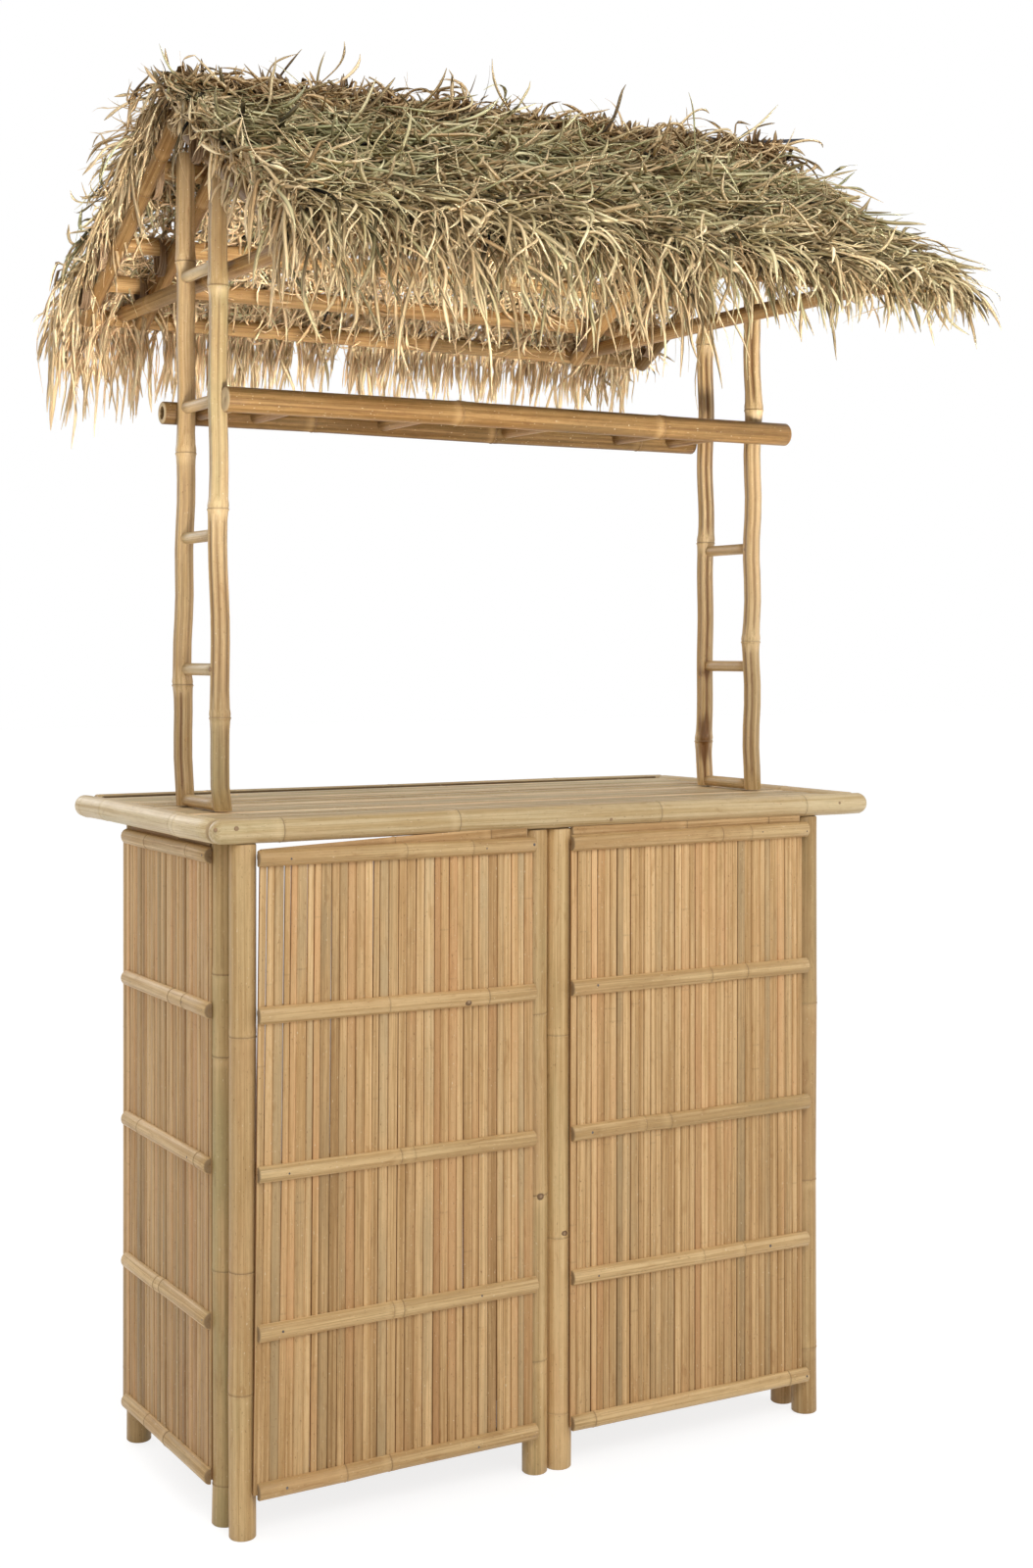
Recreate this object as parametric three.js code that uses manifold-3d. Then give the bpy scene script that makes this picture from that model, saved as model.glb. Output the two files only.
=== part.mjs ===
// A bamboo tiki bar hut: four slatted panels carry a rimmed counter, two ladders stand on the
// counter, and the ladders carry a rack and a gabled roof of thatch.
// Millimetres, +X to the right along the front, +Y to the back, +Z up.
import * as THREE from "three";
import { mergeVertices } from "three/addons/utils/BufferGeometryUtils.js";
import Module from "manifold-3d";

const wasm = await Module();
wasm.setup();

// Fits and facets
const clearance = 0.3;
const sink = 0.8;
const culmSides = 12;
const rodSides = 8;
const archSteps = 5;
const weldDistance = 1e-4;

// Base panels
const baseWidth = 1010;
const baseDepth = 434;
const panelHeight = 1000;
const poleDiameter = 40;
const poleGap = 1;
const sidePanelGap = 15;
const poleInternode = 262;
const slatPitch = 13.6;
const slatThickness = 5;
const slatGroove = 2;
const slatPoleCover = 4;
const battenHeight = 24;
const battenDepth = 11;
const battenCount = 5;
const bottomBattenHeight = 72;
const topBattenDrop = 21;
const slatEndInset = 7;
const railHeight = 26;
const railDepth = 22;

// Counter
const counterOverhang = 90;
const counterDepth = 604;
const counterShift = 34;
const rimDiameter = 36;
const rimOverhang = 12;
const rimTailLength = 14;
const rimInternode = 390;
const stripPitch = 37;
const stripThickness = 6;
const stripRecess = 4;
const stripGroove = 1.5;
const bearerInset = 6;

// Ladders and rack
const postInset = 95.5;
const ladderDepth = 143;
const ladderSetback = 35;
const postDiameter = 28;
const postTopHeight = 2065;
const postInternode = 318;
const rungDiameter = 19;
const rungCount = 5;
const topRungDrop = 197;
const rackRung = 3;
const rackDrop = 3.5;
const rackPoleDiameter = 32;
const rackFrontOverhang = 28.5;
const rackFrontShift = 22;
const rackRearOverhang = 11.5;
const rackRearShift = -19;
const rackInternode = 340;
const rackRungDiameter = 22;
const rackRungPitch = 233;
const rackInnerRungs = 4;
const rackRungShift = -22;
const rackRungPostGap = 4;
const rackBoreDiameter = 17;
const rackBoreDepth = 45;

// Roof frame
const roofPitch = THREE.MathUtils.degToRad(30);
const roofShift = 60;
const ridgeRise = 63;
const purlinDiameter = 30;
const purlinOverhang = 80.5;
const purlinReaches = [135, 295, 385, 465];
const purlinInternode = 520;
const rafterDiameter = 26;
const rafterEndInset = 17;
const rafterRidgeGap = 3;
const endRafterInset = 10;
const tieDiameter = 28;
const tieRise = 5.5;
const ridgeRodDiameter = 7;
const ridgeRodTail = 45;

// Thatch
const thatchOverhang = 20;
const matThickness = 22;
const matRidgeGap = 10;
const matEaveOverhang = 38;
const courseStart = 66;
const coursePitch = 98;
const courseCount = 4;
const bladesPerCourse = 24;
const bladeLength = 225;
const bladeWidth = 32;
const bladeThickness = 6;
const bladeLift = THREE.MathUtils.degToRad(5.5);
const fringeAngles = [32, 54].map(THREE.MathUtils.degToRad);
const bladesPerFringe = 24;
const fringeLength = 168;
const fringeBend = THREE.MathUtils.degToRad(12);
const bladeFlare = 58;
const ridgeCapHalfWidth = 74;
const ridgeCapThickness = 19;
const ridgeRodDepth = 11;
const ridgeBlades = 22;
const ridgeBladeLength = 240;
const ridgeBladeDrop = THREE.MathUtils.degToRad(21);

// Low storage shelf
const storeBearerDiameter = 26;
const storeBearerSpan = 250;
const storeEdgeGap = 7;

// Shares and angles that carry no size
const nodeSwellShare = 1.02;
const nodeWaistShare = 0.96;
const nodeWidthShare = 0.3;
const endRoundShare = 0.14;
const slatCrestShare = 0.62;
const domeShares = [0.35, 0.68, 0.9];
const poleNodeShares = [0.62, 0.2, 0.85, 0.4, 0.1, 0.74, 0.33, 0.55];
const bladeShoulderShare = 0.45;
const bladeRootShare = 0.6;
const bladeJitterShare = 0.22;
const bladeLengthJitterShare = 0.3;
const quarterTurn = Math.PI / 2;

// Spans and places worked out from the sizes
const counterWidth = baseWidth + 2 * counterOverhang;
const ladderSpan = counterWidth - 2 * postInset;
const rackFrontLength = ladderSpan + 2 * rackFrontOverhang;
const rackRearLength = ladderSpan + 2 * rackRearOverhang;
const purlinLength = ladderSpan + 2 * purlinOverhang;
const thatchLength = purlinLength + 2 * thatchOverhang;
const ridgeHeight = postTopHeight + ridgeRise;
const lowestReach = Math.max(...purlinReaches);
const poleRadius = poleDiameter / 2;
const rimRadius = rimDiameter / 2;
const postRadius = postDiameter / 2;
const frontY = -baseDepth / 2;
const rearY = baseDepth / 2;
const rimZ = panelHeight + clearance + rimRadius;
const stripTopZ = rimZ + rimRadius - stripRecess;
const stripUnderZ = stripTopZ - stripThickness;
const frontRimY = frontY - rimOverhang;
const rearRimY = frontRimY + counterDepth;
const leftRimX = counterShift - counterWidth / 2 + rimRadius;
const rightRimX = counterShift + counterWidth / 2 - rimRadius;
const postXs = [counterShift - ladderSpan / 2, counterShift + ladderSpan / 2];
const postYs = [ladderSetback - ladderDepth / 2, ladderSetback + ladderDepth / 2];
const postFoot = stripTopZ + clearance;
const rungPitch = (postTopHeight - topRungDrop - rungDiameter / 2 - postFoot) / (rungCount - 1);
const rackHeight = postFoot + rungDiameter / 2 + rackRung * rungPitch - rackDrop;
const tieHeight = ridgeHeight - lowestReach * Math.tan(roofPitch) + tieRise;

// Materials
function bamboo(color, roughness) {
  return new THREE.MeshStandardMaterial({ color, roughness, metalness: 0 });
}
const poleBamboo = bamboo(0xc9a46c, 0.5);
const slatBamboo = bamboo(0xc79f66, 0.62);
const battenBamboo = bamboo(0xd0ad74, 0.55);
const rimBamboo = bamboo(0xcbb47e, 0.42);
const stripBamboo = bamboo(0xb5a17a, 0.6);
const postBamboo = bamboo(0xbd9c64, 0.5);
const frameBamboo = bamboo(0xa37a48, 0.6);
const ridgeMetal = new THREE.MeshStandardMaterial({ color: 0x3a3a3c, roughness: 0.5, metalness: 0.6 });
const thatchStraw = bamboo(0xa8a374, 0.9);
const ridgeStraw = bamboo(0x7d6a45, 0.95);

// Solid helpers: closed meshes joined or cut
function solidOf(geometry) {
  const loose = geometry.index ? geometry.toNonIndexed() : geometry;
  const bare = new THREE.BufferGeometry().setAttribute("position", loose.getAttribute("position"));
  const welded = mergeVertices(bare, weldDistance);
  const mesh = new wasm.Mesh({
    numProp: 3,
    vertProperties: welded.attributes.position.array,
    triVerts: new Uint32Array(welded.index.array),
  });
  return new wasm.Manifold(mesh);
}

function geometryOf(solid) {
  const mesh = solid.getMesh();
  return new THREE.BufferGeometry()
    .setAttribute("position", new THREE.BufferAttribute(mesh.vertProperties, 3))
    .setIndex(new THREE.BufferAttribute(mesh.triVerts, 1));
}

function fuse(geometries) {
  let solids = geometries.map(solidOf);
  while (solids.length > 1) {
    const joined = [];
    for (let i = 0; i < solids.length; i += 2) {
      joined.push(i + 1 < solids.length ? solids[i].add(solids[i + 1]) : solids[i]);
    }
    solids = joined;
  }
  return geometryOf(solids[0]);
}

function piece(name, geometry, material, x = 0, y = 0, z = 0) {
  const mesh = new THREE.Mesh(geometry, material);
  mesh.name = name;
  mesh.position.set(x, y, z);
  return mesh;
}

function group(...children) {
  const holder = new THREE.Group();
  if (children.length) holder.add(...children);
  return holder;
}

// A repeatable number from 0 to 1 for copy k of a pattern
function scatter(k, salt) {
  const wave = Math.sin(k * 12.9898 + salt * 78.233) * 43758.5453;
  return wave - Math.floor(wave);
}

// A culm along +Z: a round pole that swells to a ring at each node, just past a narrow waist.
// ends.startDome and ends.endDome round an end off, and ends.bore opens the start.
function culm(length, diameter, internode, firstShare, ends = {}, sides = culmSides) {
  const r = diameter / 2;
  const round = r * endRoundShare;
  const halfNode = r * nodeWidthShare;
  const domes = ends.startDome || ends.endDome ? domeShares : [];
  const domePoints = domes.map((s) => [r * Math.sin(s * quarterTurn), r * (1 - Math.cos(s * quarterTurn))]);
  const points = [];
  if (ends.bore) {
    points.push([0, ends.bore.depth], [ends.bore.diameter / 2, ends.bore.depth], [ends.bore.diameter / 2, 0]);
  } else {
    points.push([0, 0]);
  }
  if (ends.startDome) {
    points.push(...domePoints);
  } else {
    points.push([r - round, 0], [r, round]);
  }
  const endClear = 2 * halfNode + r;
  for (let h = firstShare * internode; h < length - endClear; h += internode) {
    if (h < endClear) continue;
    points.push([r * nodeWaistShare, h - halfNode], [r * nodeSwellShare, h]);
  }
  if (ends.endDome) {
    points.push(...[...domePoints].reverse().map(([x, h]) => [x, length - h]));
  } else {
    points.push([r, length - round], [r - round, length]);
  }
  points.push([0, length]);
  const profile = points.map(([x, h]) => new THREE.Vector2(x, h));
  return new THREE.LatheGeometry(profile, sides).rotateX(quarterTurn);
}

// The same culm along +X or along +Y, starting at the origin
function culmX(...sizes) {
  return culm(...sizes).rotateY(quarterTurn);
}
function culmY(...sizes) {
  return culm(...sizes).rotateX(-quarterTurn);
}

// A plain round bar along +Z
function bar(length, diameter, sides = rodSides) {
  const cylinder = new THREE.CylinderGeometry(diameter / 2, diameter / 2, length, sides);
  return cylinder.rotateX(quarterTurn).translate(0, 0, length / 2);
}

// A half-round strip along +X: flat at y = 0, bulging to -Y, centred on z = 0
function halfRound(length, height, depth) {
  const shape = new THREE.Shape();
  for (let i = 0; i <= archSteps; i++) {
    const turn = (Math.PI * i) / archSteps;
    const x = (-height / 2) * Math.cos(turn);
    const y = -depth * Math.sin(turn);
    if (i) shape.lineTo(x, y);
    else shape.moveTo(x, y);
  }
  const solid = new THREE.ExtrudeGeometry(shape, { depth: length, bevelEnabled: false });
  return solid.rotateY(quarterTurn);
}

// The section of a row of split strips: flat at y = 0, with crests at y = thickness and a groove
// between neighbours
function stripSection(width, pitch, thickness, groove) {
  const count = Math.max(1, Math.round(width / pitch));
  const step = width / count;
  const crest = (step * slatCrestShare) / 2;
  const shape = new THREE.Shape();
  shape.moveTo(0, 0);
  shape.lineTo(width, 0);
  for (let i = count - 1; i >= 0; i--) {
    const middle = (i + 0.5) * step;
    shape.lineTo(middle + step / 2, thickness - groove);
    shape.lineTo(middle + crest, thickness);
    shape.lineTo(middle - crest, thickness);
  }
  shape.lineTo(0, thickness - groove);
  return shape;
}

// One base panel, seen from outside: the left pole stands at the origin and the right pole at
// x = span. The slats start beside the left pole and end over the right pole's middle.
function panel(name, span, firstNode, fuseBattens) {
  const matStart = poleRadius + clearance;
  const matWidth = span - slatPoleCover - matStart;
  const matY = -(poleRadius * nodeSwellShare + clearance);
  const topBattenZ = panelHeight - topBattenDrop;
  const battenPitch = (topBattenZ - bottomBattenHeight) / (battenCount - 1);
  const battenZs = Array.from({ length: battenCount }, (_, i) => bottomBattenHeight + i * battenPitch);
  const slatBottom = bottomBattenHeight - battenHeight / 2 + slatEndInset;
  const slatTop = topBattenZ + battenHeight / 2 - slatEndInset;
  const slats = new THREE.ExtrudeGeometry(stripSection(matWidth, slatPitch, slatThickness, slatGroove), {
    depth: slatTop - slatBottom,
    bevelEnabled: false,
  });
  slats.rotateZ(Math.PI).translate(matStart + matWidth, matY, slatBottom);

  // Rails behind the slats, between the poles
  const railX = poleRadius * nodeSwellShare + clearance;
  const railLength = span - 2 * railX;
  const rails = battenZs.map((z) =>
    halfRound(railLength, railHeight, railDepth).rotateX(Math.PI).translate(railX, matY - sink, z),
  );

  // Battens over the slats, nailed to the right pole
  const battenLength = span + slatPoleCover - matStart;
  const battenY = matY - slatThickness;
  const battens = battenZs.map((z) =>
    halfRound(battenLength, battenHeight, battenDepth).translate(
      matStart,
      battenY + (fuseBattens ? slatGroove + sink : -clearance),
      z,
    ),
  );

  const holder = group(
    piece(name + "_left_pole", culm(panelHeight, poleDiameter, poleInternode, poleNodeShares[firstNode]), poleBamboo),
    piece(
      name + "_right_pole",
      culm(panelHeight, poleDiameter, poleInternode, poleNodeShares[firstNode + 1]),
      poleBamboo,
      span,
    ),
    piece(name + "_slats", fuse([slats, ...rails, ...(fuseBattens ? battens : [])]), slatBamboo),
  );
  if (!fuseBattens) {
    battens.forEach((geometry, i) => holder.add(piece(name + "_batten_" + (i + 1), geometry, battenBamboo)));
  }
  return holder;
}

// The base: two front panels and one on each side
function makeBase() {
  const frontSpan = (baseWidth - poleDiameter * nodeSwellShare - poleGap) / 2;
  const sideFrontY = frontY + poleDiameter + sidePanelGap;
  const sideSpan = rearY - sideFrontY;
  const frontLeft = panel("front_left", frontSpan, 0, false);
  frontLeft.position.set(-baseWidth / 2, frontY, 0);
  const frontRight = panel("front_right", frontSpan, 2, false);
  frontRight.position.set(baseWidth / 2 - frontSpan, frontY, 0);
  const left = panel("left_side", sideSpan, 4, true);
  left.position.set(-baseWidth / 2, rearY, 0);
  left.rotation.z = -quarterTurn;
  const right = panel("right_side", sideSpan, 6, true);
  right.position.set(baseWidth / 2, sideFrontY, 0);
  right.rotation.z = quarterTurn;
  return group(frontLeft, frontRight, left, right);
}

// The counter: a pinwheel of rim culms round a top of flattened strips on three bearers
function makeCounter() {
  const swell = rimRadius * nodeSwellShare;
  const front = culmX(counterWidth, rimDiameter, rimInternode, poleNodeShares[1], {
    startDome: true,
    endDome: true,
  });
  const sideStart = frontRimY + swell + clearance;
  const leftLength = rearRimY + rimTailLength - sideStart;
  const left = culmY(leftLength, rimDiameter, rimInternode, poleNodeShares[7], { endDome: true });
  const rearStart = leftRimX + swell + clearance;
  const rearLength = rightRimX + rimRadius - rearStart;
  const rear = culmX(rearLength, rimDiameter, rimInternode, poleNodeShares[3], { endDome: true });
  const rightLength = rearRimY - swell - clearance - sideStart;
  const right = culmY(rightLength, rimDiameter, rimInternode, poleNodeShares[6]);

  // Strips fill the frame that the rims leave
  const topX = leftRimX + swell + clearance;
  const topLength = rightRimX - swell - clearance - topX;
  const topDepth = rearRimY - swell - clearance - sideStart;
  const top = new THREE.ExtrudeGeometry(stripSection(topDepth, stripPitch, stripThickness, stripGroove), {
    depth: topLength,
    bevelEnabled: false,
  });
  top.rotateX(quarterTurn).rotateZ(quarterTurn);

  const bearerDiameter = stripUnderZ - panelHeight - 2 * clearance;
  const bearerXs = [-baseWidth / 2 + bearerInset, 0, baseWidth / 2 - bearerInset];
  const bearerNames = ["left", "middle", "right"];
  const counter = group(
    piece("counter_front_rim", front, rimBamboo, leftRimX - rimRadius, frontRimY, rimZ),
    piece("counter_left_rim", left, rimBamboo, leftRimX, sideStart, rimZ),
    piece("counter_rear_rim", rear, rimBamboo, rearStart, rearRimY, rimZ),
    piece("counter_right_rim", right, rimBamboo, rightRimX, sideStart, rimZ),
    piece("counter_top", top, stripBamboo, topX, sideStart, stripUnderZ),
  );
  bearerXs.forEach((x, i) => {
    const bearer = bar(topDepth, bearerDiameter).rotateX(-quarterTurn);
    const z = panelHeight + clearance + bearerDiameter / 2;
    counter.add(piece("counter_bearer_" + bearerNames[i], bearer, frameBamboo, x, sideStart, z));
  });
  return counter;
}

// A ladder: a front post, and a rear post that carries the rungs
function ladder(name, x, firstNode) {
  const length = postTopHeight - postFoot;
  const front = culm(length, postDiameter, postInternode, poleNodeShares[firstNode]);
  const rear = culm(length, postDiameter, postInternode, poleNodeShares[firstNode + 1]);
  const rungLength = ladderDepth - postRadius * nodeSwellShare - clearance;
  const rungs = Array.from({ length: rungCount }, (_, i) =>
    bar(rungLength, rungDiameter).rotateX(quarterTurn).translate(0, 0, rungDiameter / 2 + i * rungPitch),
  );
  return group(
    piece(name + "_ladder_front_post", front, postBamboo, x, postYs[0], postFoot),
    piece(name + "_ladder_rear_post", fuse([rear, ...rungs]), postBamboo, x, postYs[1], postFoot),
  );
}

// The rack: a pole on each face of the ladders, with cross rungs fused to the rear one
function makeRack() {
  const swell = postRadius * nodeSwellShare + clearance + (rackPoleDiameter / 2) * nodeSwellShare;
  const frontPoleY = postYs[0] - swell;
  const rearPoleY = postYs[1] + swell;
  const front = culmX(rackFrontLength, rackPoleDiameter, rackInternode, poleNodeShares[5]);
  const rear = culmX(rackRearLength, rackPoleDiameter, rackInternode, poleNodeShares[2], {
    bore: { diameter: rackBoreDiameter, depth: rackBoreDepth },
  });
  const rearX = counterShift + rackRearShift - rackRearLength / 2;
  const rungLength = rearPoleY - frontPoleY - (rackPoleDiameter / 2) * nodeSwellShare - clearance;
  const endRungX = ladderSpan / 2 - postRadius * nodeSwellShare - rackRungPostGap - rackRungDiameter / 2;
  const innerStart = (-(rackInnerRungs - 1) / 2) * rackRungPitch + rackRungShift;
  const rungXs = [-endRungX, endRungX];
  for (let i = 0; i < rackInnerRungs; i++) rungXs.push(innerStart + i * rackRungPitch);
  const rungs = rungXs.map((x) =>
    bar(rungLength, rackRungDiameter).rotateX(quarterTurn).translate(counterShift + x - rearX, 0, 0),
  );
  const frontX = counterShift + rackFrontShift - rackFrontLength / 2;
  return group(
    piece("rack_front_pole", front, postBamboo, frontX, frontPoleY, rackHeight),
    piece("rack_rear_pole", fuse([rear, ...rungs]), frameBamboo, rearX, rearPoleY, rackHeight),
  );
}

// A blade of thatch from root to tip: a three-sided leaf, widest at its shoulder
function blade(root, shoulder, tip, width) {
  const along = new THREE.Vector3().subVectors(tip, root).normalize();
  const side = new THREE.Vector3(1, 0, 0).addScaledVector(along, -along.x).normalize();
  const up = new THREE.Vector3().crossVectors(side, along);
  if (up.z < 0) up.negate();
  const ring = (centre, share) => [
    centre.clone().addScaledVector(side, (-width * share) / 2).addScaledVector(up, -bladeThickness / 2),
    centre.clone().addScaledVector(side, (width * share) / 2).addScaledVector(up, -bladeThickness / 2),
    centre.clone().addScaledVector(up, bladeThickness / 2),
  ];
  const corners = [...ring(root, bladeRootShare), ...ring(shoulder, 1), tip];
  const faces = [0, 1, 2];
  for (let i = 0; i < 3; i++) {
    const j = (i + 1) % 3;
    faces.push(i, i + 3, j + 3, i, j + 3, j, i + 3, 6, j + 3);
  }
  const geometry = new THREE.BufferGeometry().setFromPoints(corners).setIndex(faces);
  const turned = new THREE.Vector3().crossVectors(side, up).dot(along) > 0;
  return turned ? flipped(geometry) : geometry;
}

function flipped(geometry) {
  const index = geometry.index.array;
  for (let i = 0; i < index.length; i += 3) [index[i + 1], index[i + 2]] = [index[i + 2], index[i + 1]];
  return geometry;
}

// One row of blades. reach is the root's distance down the slope, rise its height over the
// slope, and angle how far the blades point above the slope, falling by bend past the shoulder.
function bladeRow(count, length, reach, rise, angle, bend, salt, direction = -1) {
  const row = [];
  const pitch = (thatchLength - bladeWidth) / count;
  for (let k = 0; k < count; k++) {
    const x = (k + 0.5 - count / 2) * pitch;
    const own = length * (1 - bladeLengthJitterShare * scatter(k, salt));
    const spread = Math.pow((2 * x) / thatchLength, 3) * bladeFlare;
    const shift = spread + (scatter(k, salt + 0.5) - 0.5) * 2 * bladeJitterShare * pitch;
    const first = own * bladeShoulderShare;
    const rest = own - first;
    const root = new THREE.Vector3(x, direction * reach, rise);
    const shoulder = new THREE.Vector3(
      x + shift * bladeShoulderShare,
      direction * (reach + first * Math.cos(angle)),
      rise + first * Math.sin(angle),
    );
    const tip = new THREE.Vector3(
      x + shift,
      shoulder.y + direction * rest * Math.cos(angle - bend),
      shoulder.z + rest * Math.sin(angle - bend),
    );
    row.push(blade(root, shoulder, tip, bladeWidth));
  }
  return row;
}

// One slope of the roof in its own frame: the purlins' centre line is z = 0, the ridge is y = 0
// and the slope runs down to -Y. flip is 1 on the front slope and -1 on the turned rear one.
function slope(name, flip) {
  const run = (reach) => reach / Math.cos(roofPitch);
  const tieInner = ladderSpan / 2 - postRadius * nodeSwellShare - 2 * clearance - tieDiameter;
  const holder = group();

  purlinReaches.forEach((reach, i) => {
    const geometry = culmX(purlinLength, purlinDiameter, purlinInternode, poleNodeShares[i + 2], {}, rodSides);
    holder.add(piece(name + "_purlin_" + (i + 1), geometry, frameBamboo, -purlinLength / 2, -run(reach), 0));
  });

  // Rafters under the purlins: one at each end, and one beside each tie beam
  const rafterZ = -((purlinDiameter / 2) * nodeSwellShare + clearance + rafterDiameter / 2);
  const rafterStart = run(rafterRidgeGap) + (rafterDiameter / 2 - rafterZ) * Math.tan(roofPitch);
  const rafterLength = run(lowestReach - rafterEndInset) - rafterStart;
  const innerX = tieInner - rafterDiameter / 2;
  const endX = purlinLength / 2 - endRafterInset;
  const offset = counterShift - roofShift;
  const rafterXs = [-endX, flip * (offset - innerX), flip * (offset + innerX), endX];
  rafterXs.sort((a, b) => a - b);
  rafterXs.forEach((x, i) => {
    const geometry = bar(rafterLength, rafterDiameter, culmSides).rotateX(quarterTurn);
    holder.add(piece(name + "_rafter_" + (i + 1), geometry, frameBamboo, x, -rafterStart, rafterZ));
  });

  // Thatch: a sewn mat on the purlins, courses of blades over it and a fringe at the eave
  const matUnder = (purlinDiameter / 2) * nodeSwellShare + clearance;
  const matTop = matUnder + matThickness;
  const matStart = run(matRidgeGap) + matTop * Math.tan(roofPitch);
  const matEnd = run(lowestReach) + matEaveOverhang;
  const mat = new THREE.BoxGeometry(thatchLength, matEnd - matStart, matThickness);
  mat.translate(0, -(matStart + matEnd) / 2, (matUnder + matTop) / 2);
  const blades = [];
  for (let c = 0; c < courseCount; c++) {
    const reach = matStart + courseStart + c * coursePitch;
    blades.push(...bladeRow(bladesPerCourse, bladeLength, reach, matTop - sink, bladeLift, 0, c));
  }
  const fringeInset = bladeThickness / 2 + sink;
  fringeAngles.forEach((angle, c) => {
    const rise = matTop - fringeInset - (c * (matThickness - 2 * fringeInset)) / (fringeAngles.length - 1);
    const row = bladeRow(bladesPerFringe, fringeLength, matEnd - bladeThickness, rise, -angle, fringeBend, c + 9);
    blades.push(...row);
  });
  holder.add(piece(name + "_thatch", fuse([mat, ...blades]), thatchStraw));
  holder.rotation.x = roofPitch;
  return holder;
}

// The ridge: a bundle of dry thatch saddled over both slopes, on a thin rod
function makeRidge() {
  const matTop = (purlinDiameter / 2) * nodeSwellShare + clearance + matThickness;
  const saddle = (matTop + clearance) / Math.cos(roofPitch);
  const crown = saddle + ridgeCapThickness / Math.cos(roofPitch);
  const edgeDrop = ridgeCapHalfWidth * Math.tan(roofPitch);
  const shape = new THREE.Shape();
  shape.moveTo(0, saddle);
  shape.lineTo(ridgeCapHalfWidth, saddle - edgeDrop);
  shape.lineTo(ridgeCapHalfWidth, crown - edgeDrop - ridgeCapThickness / 2);
  shape.lineTo(ridgeCapHalfWidth / 2, crown - edgeDrop / 2);
  shape.lineTo(0, crown + ridgeCapThickness / 2);
  shape.lineTo(-ridgeCapHalfWidth / 2, crown - edgeDrop / 2);
  shape.lineTo(-ridgeCapHalfWidth, crown - edgeDrop - ridgeCapThickness / 2);
  shape.lineTo(-ridgeCapHalfWidth, saddle - edgeDrop);
  const rodZ = crown + ridgeCapThickness / 2 - ridgeRodDepth;
  const hole = new THREE.Path();
  for (let i = 0; i < rodSides; i++) {
    const turn = ((i + 0.5) * 2 * Math.PI) / rodSides;
    const r = ridgeRodDiameter / 2 + 2 * clearance;
    const x = r * Math.sin(turn);
    const y = rodZ + r * Math.cos(turn);
    if (i) hole.lineTo(x, y);
    else hole.moveTo(x, y);
  }
  shape.holes.push(hole);
  const cap = new THREE.ExtrudeGeometry(shape, { depth: thatchLength, bevelEnabled: false });
  cap.rotateX(quarterTurn).rotateZ(quarterTurn).translate(-thatchLength / 2, 0, 0);
  const rootReach = ridgeCapHalfWidth / 2;
  const rootRise = crown - edgeDrop / 2 - bladeThickness;
  const blades = [-1, 1].flatMap((direction) =>
    bladeRow(ridgeBlades, ridgeBladeLength, rootReach, rootRise, -ridgeBladeDrop, 0, direction + 20, direction),
  );
  const rod = bar(thatchLength + ridgeRodTail, ridgeRodDiameter).rotateY(quarterTurn);
  return group(
    piece("ridge_thatch", fuse([cap, ...blades]), ridgeStraw),
    piece("ridge_rod", rod, ridgeMetal, -thatchLength / 2, 0, rodZ),
  );
}

// The roof: both slopes, the ridge, and a tie beam on the inner side of each ladder
function makeRoof() {
  const front = slope("front", 1);
  const rear = group(slope("rear", -1));
  rear.rotation.z = Math.PI;
  const roof = group(front, rear, makeRidge());
  roof.position.set(roofShift, ladderSetback, ridgeHeight);

  const tieHalf = lowestReach - (purlinDiameter / 2) * nodeSwellShare - clearance;
  const tieX = ladderSpan / 2 - postRadius * nodeSwellShare - clearance - tieDiameter / 2;
  const ties = [-1, 1].map((side) => {
    const geometry = bar(2 * tieHalf, tieDiameter, culmSides).rotateX(-quarterTurn);
    const name = (side < 0 ? "left" : "right") + "_tie_beam";
    return piece(name, geometry, frameBamboo, counterShift + side * tieX, ladderSetback - tieHalf, tieHeight);
  });
  return group(roof, ...ties);
}

// The low shelf: strips along the bar, sewn to two bearers that lie on the side panels' bottom rails
function makeStorage() {
  const railTop = bottomBattenHeight + railHeight / 2;
  const bearerZ = railTop + clearance + storeBearerDiameter / 2;
  const bearerHalf = baseWidth / 2 + poleRadius * nodeSwellShare;
  const stripHalf = baseWidth / 2 - poleRadius * nodeSwellShare - storeEdgeGap;
  const depthHalf = baseDepth / 2 - poleRadius * nodeSwellShare - storeEdgeGap;
  const bearers = [-1, 1].map((side) =>
    bar(2 * bearerHalf, storeBearerDiameter)
      .rotateY(quarterTurn)
      .translate(-bearerHalf, (side * storeBearerSpan) / 2, 0),
  );
  const section = stripSection(2 * depthHalf, stripPitch, stripThickness, stripGroove);
  const strips = new THREE.ExtrudeGeometry(section, { depth: 2 * stripHalf, bevelEnabled: false });
  strips.rotateX(quarterTurn).rotateZ(quarterTurn);
  strips.translate(-stripHalf, -depthHalf, storeBearerDiameter / 2 - sink);
  return group(piece("storage_shelf", fuse([strips, ...bearers]), stripBamboo, 0, 0, bearerZ));
}

const hut = group(
  makeBase(),
  makeCounter(),
  ladder("left", postXs[0], 1),
  ladder("right", postXs[1], 4),
  makeRack(),
  makeRoof(),
  makeStorage(),
);

// The origin is on the floor, under the middle of the whole hut
const extent = new THREE.Box3().setFromObject(hut);
const middle = extent.getCenter(new THREE.Vector3());
hut.position.set(-middle.x, -middle.y, -extent.min.z);

export default group(hut);
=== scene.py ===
"""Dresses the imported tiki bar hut: bamboo culms, split slats, flattened strips and grass thatch."""

from __future__ import annotations

import logging
import math
from dataclasses import dataclass, field, replace
from enum import Enum
from itertools import product
from typing import ClassVar, Iterable, Sequence, Union

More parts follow.
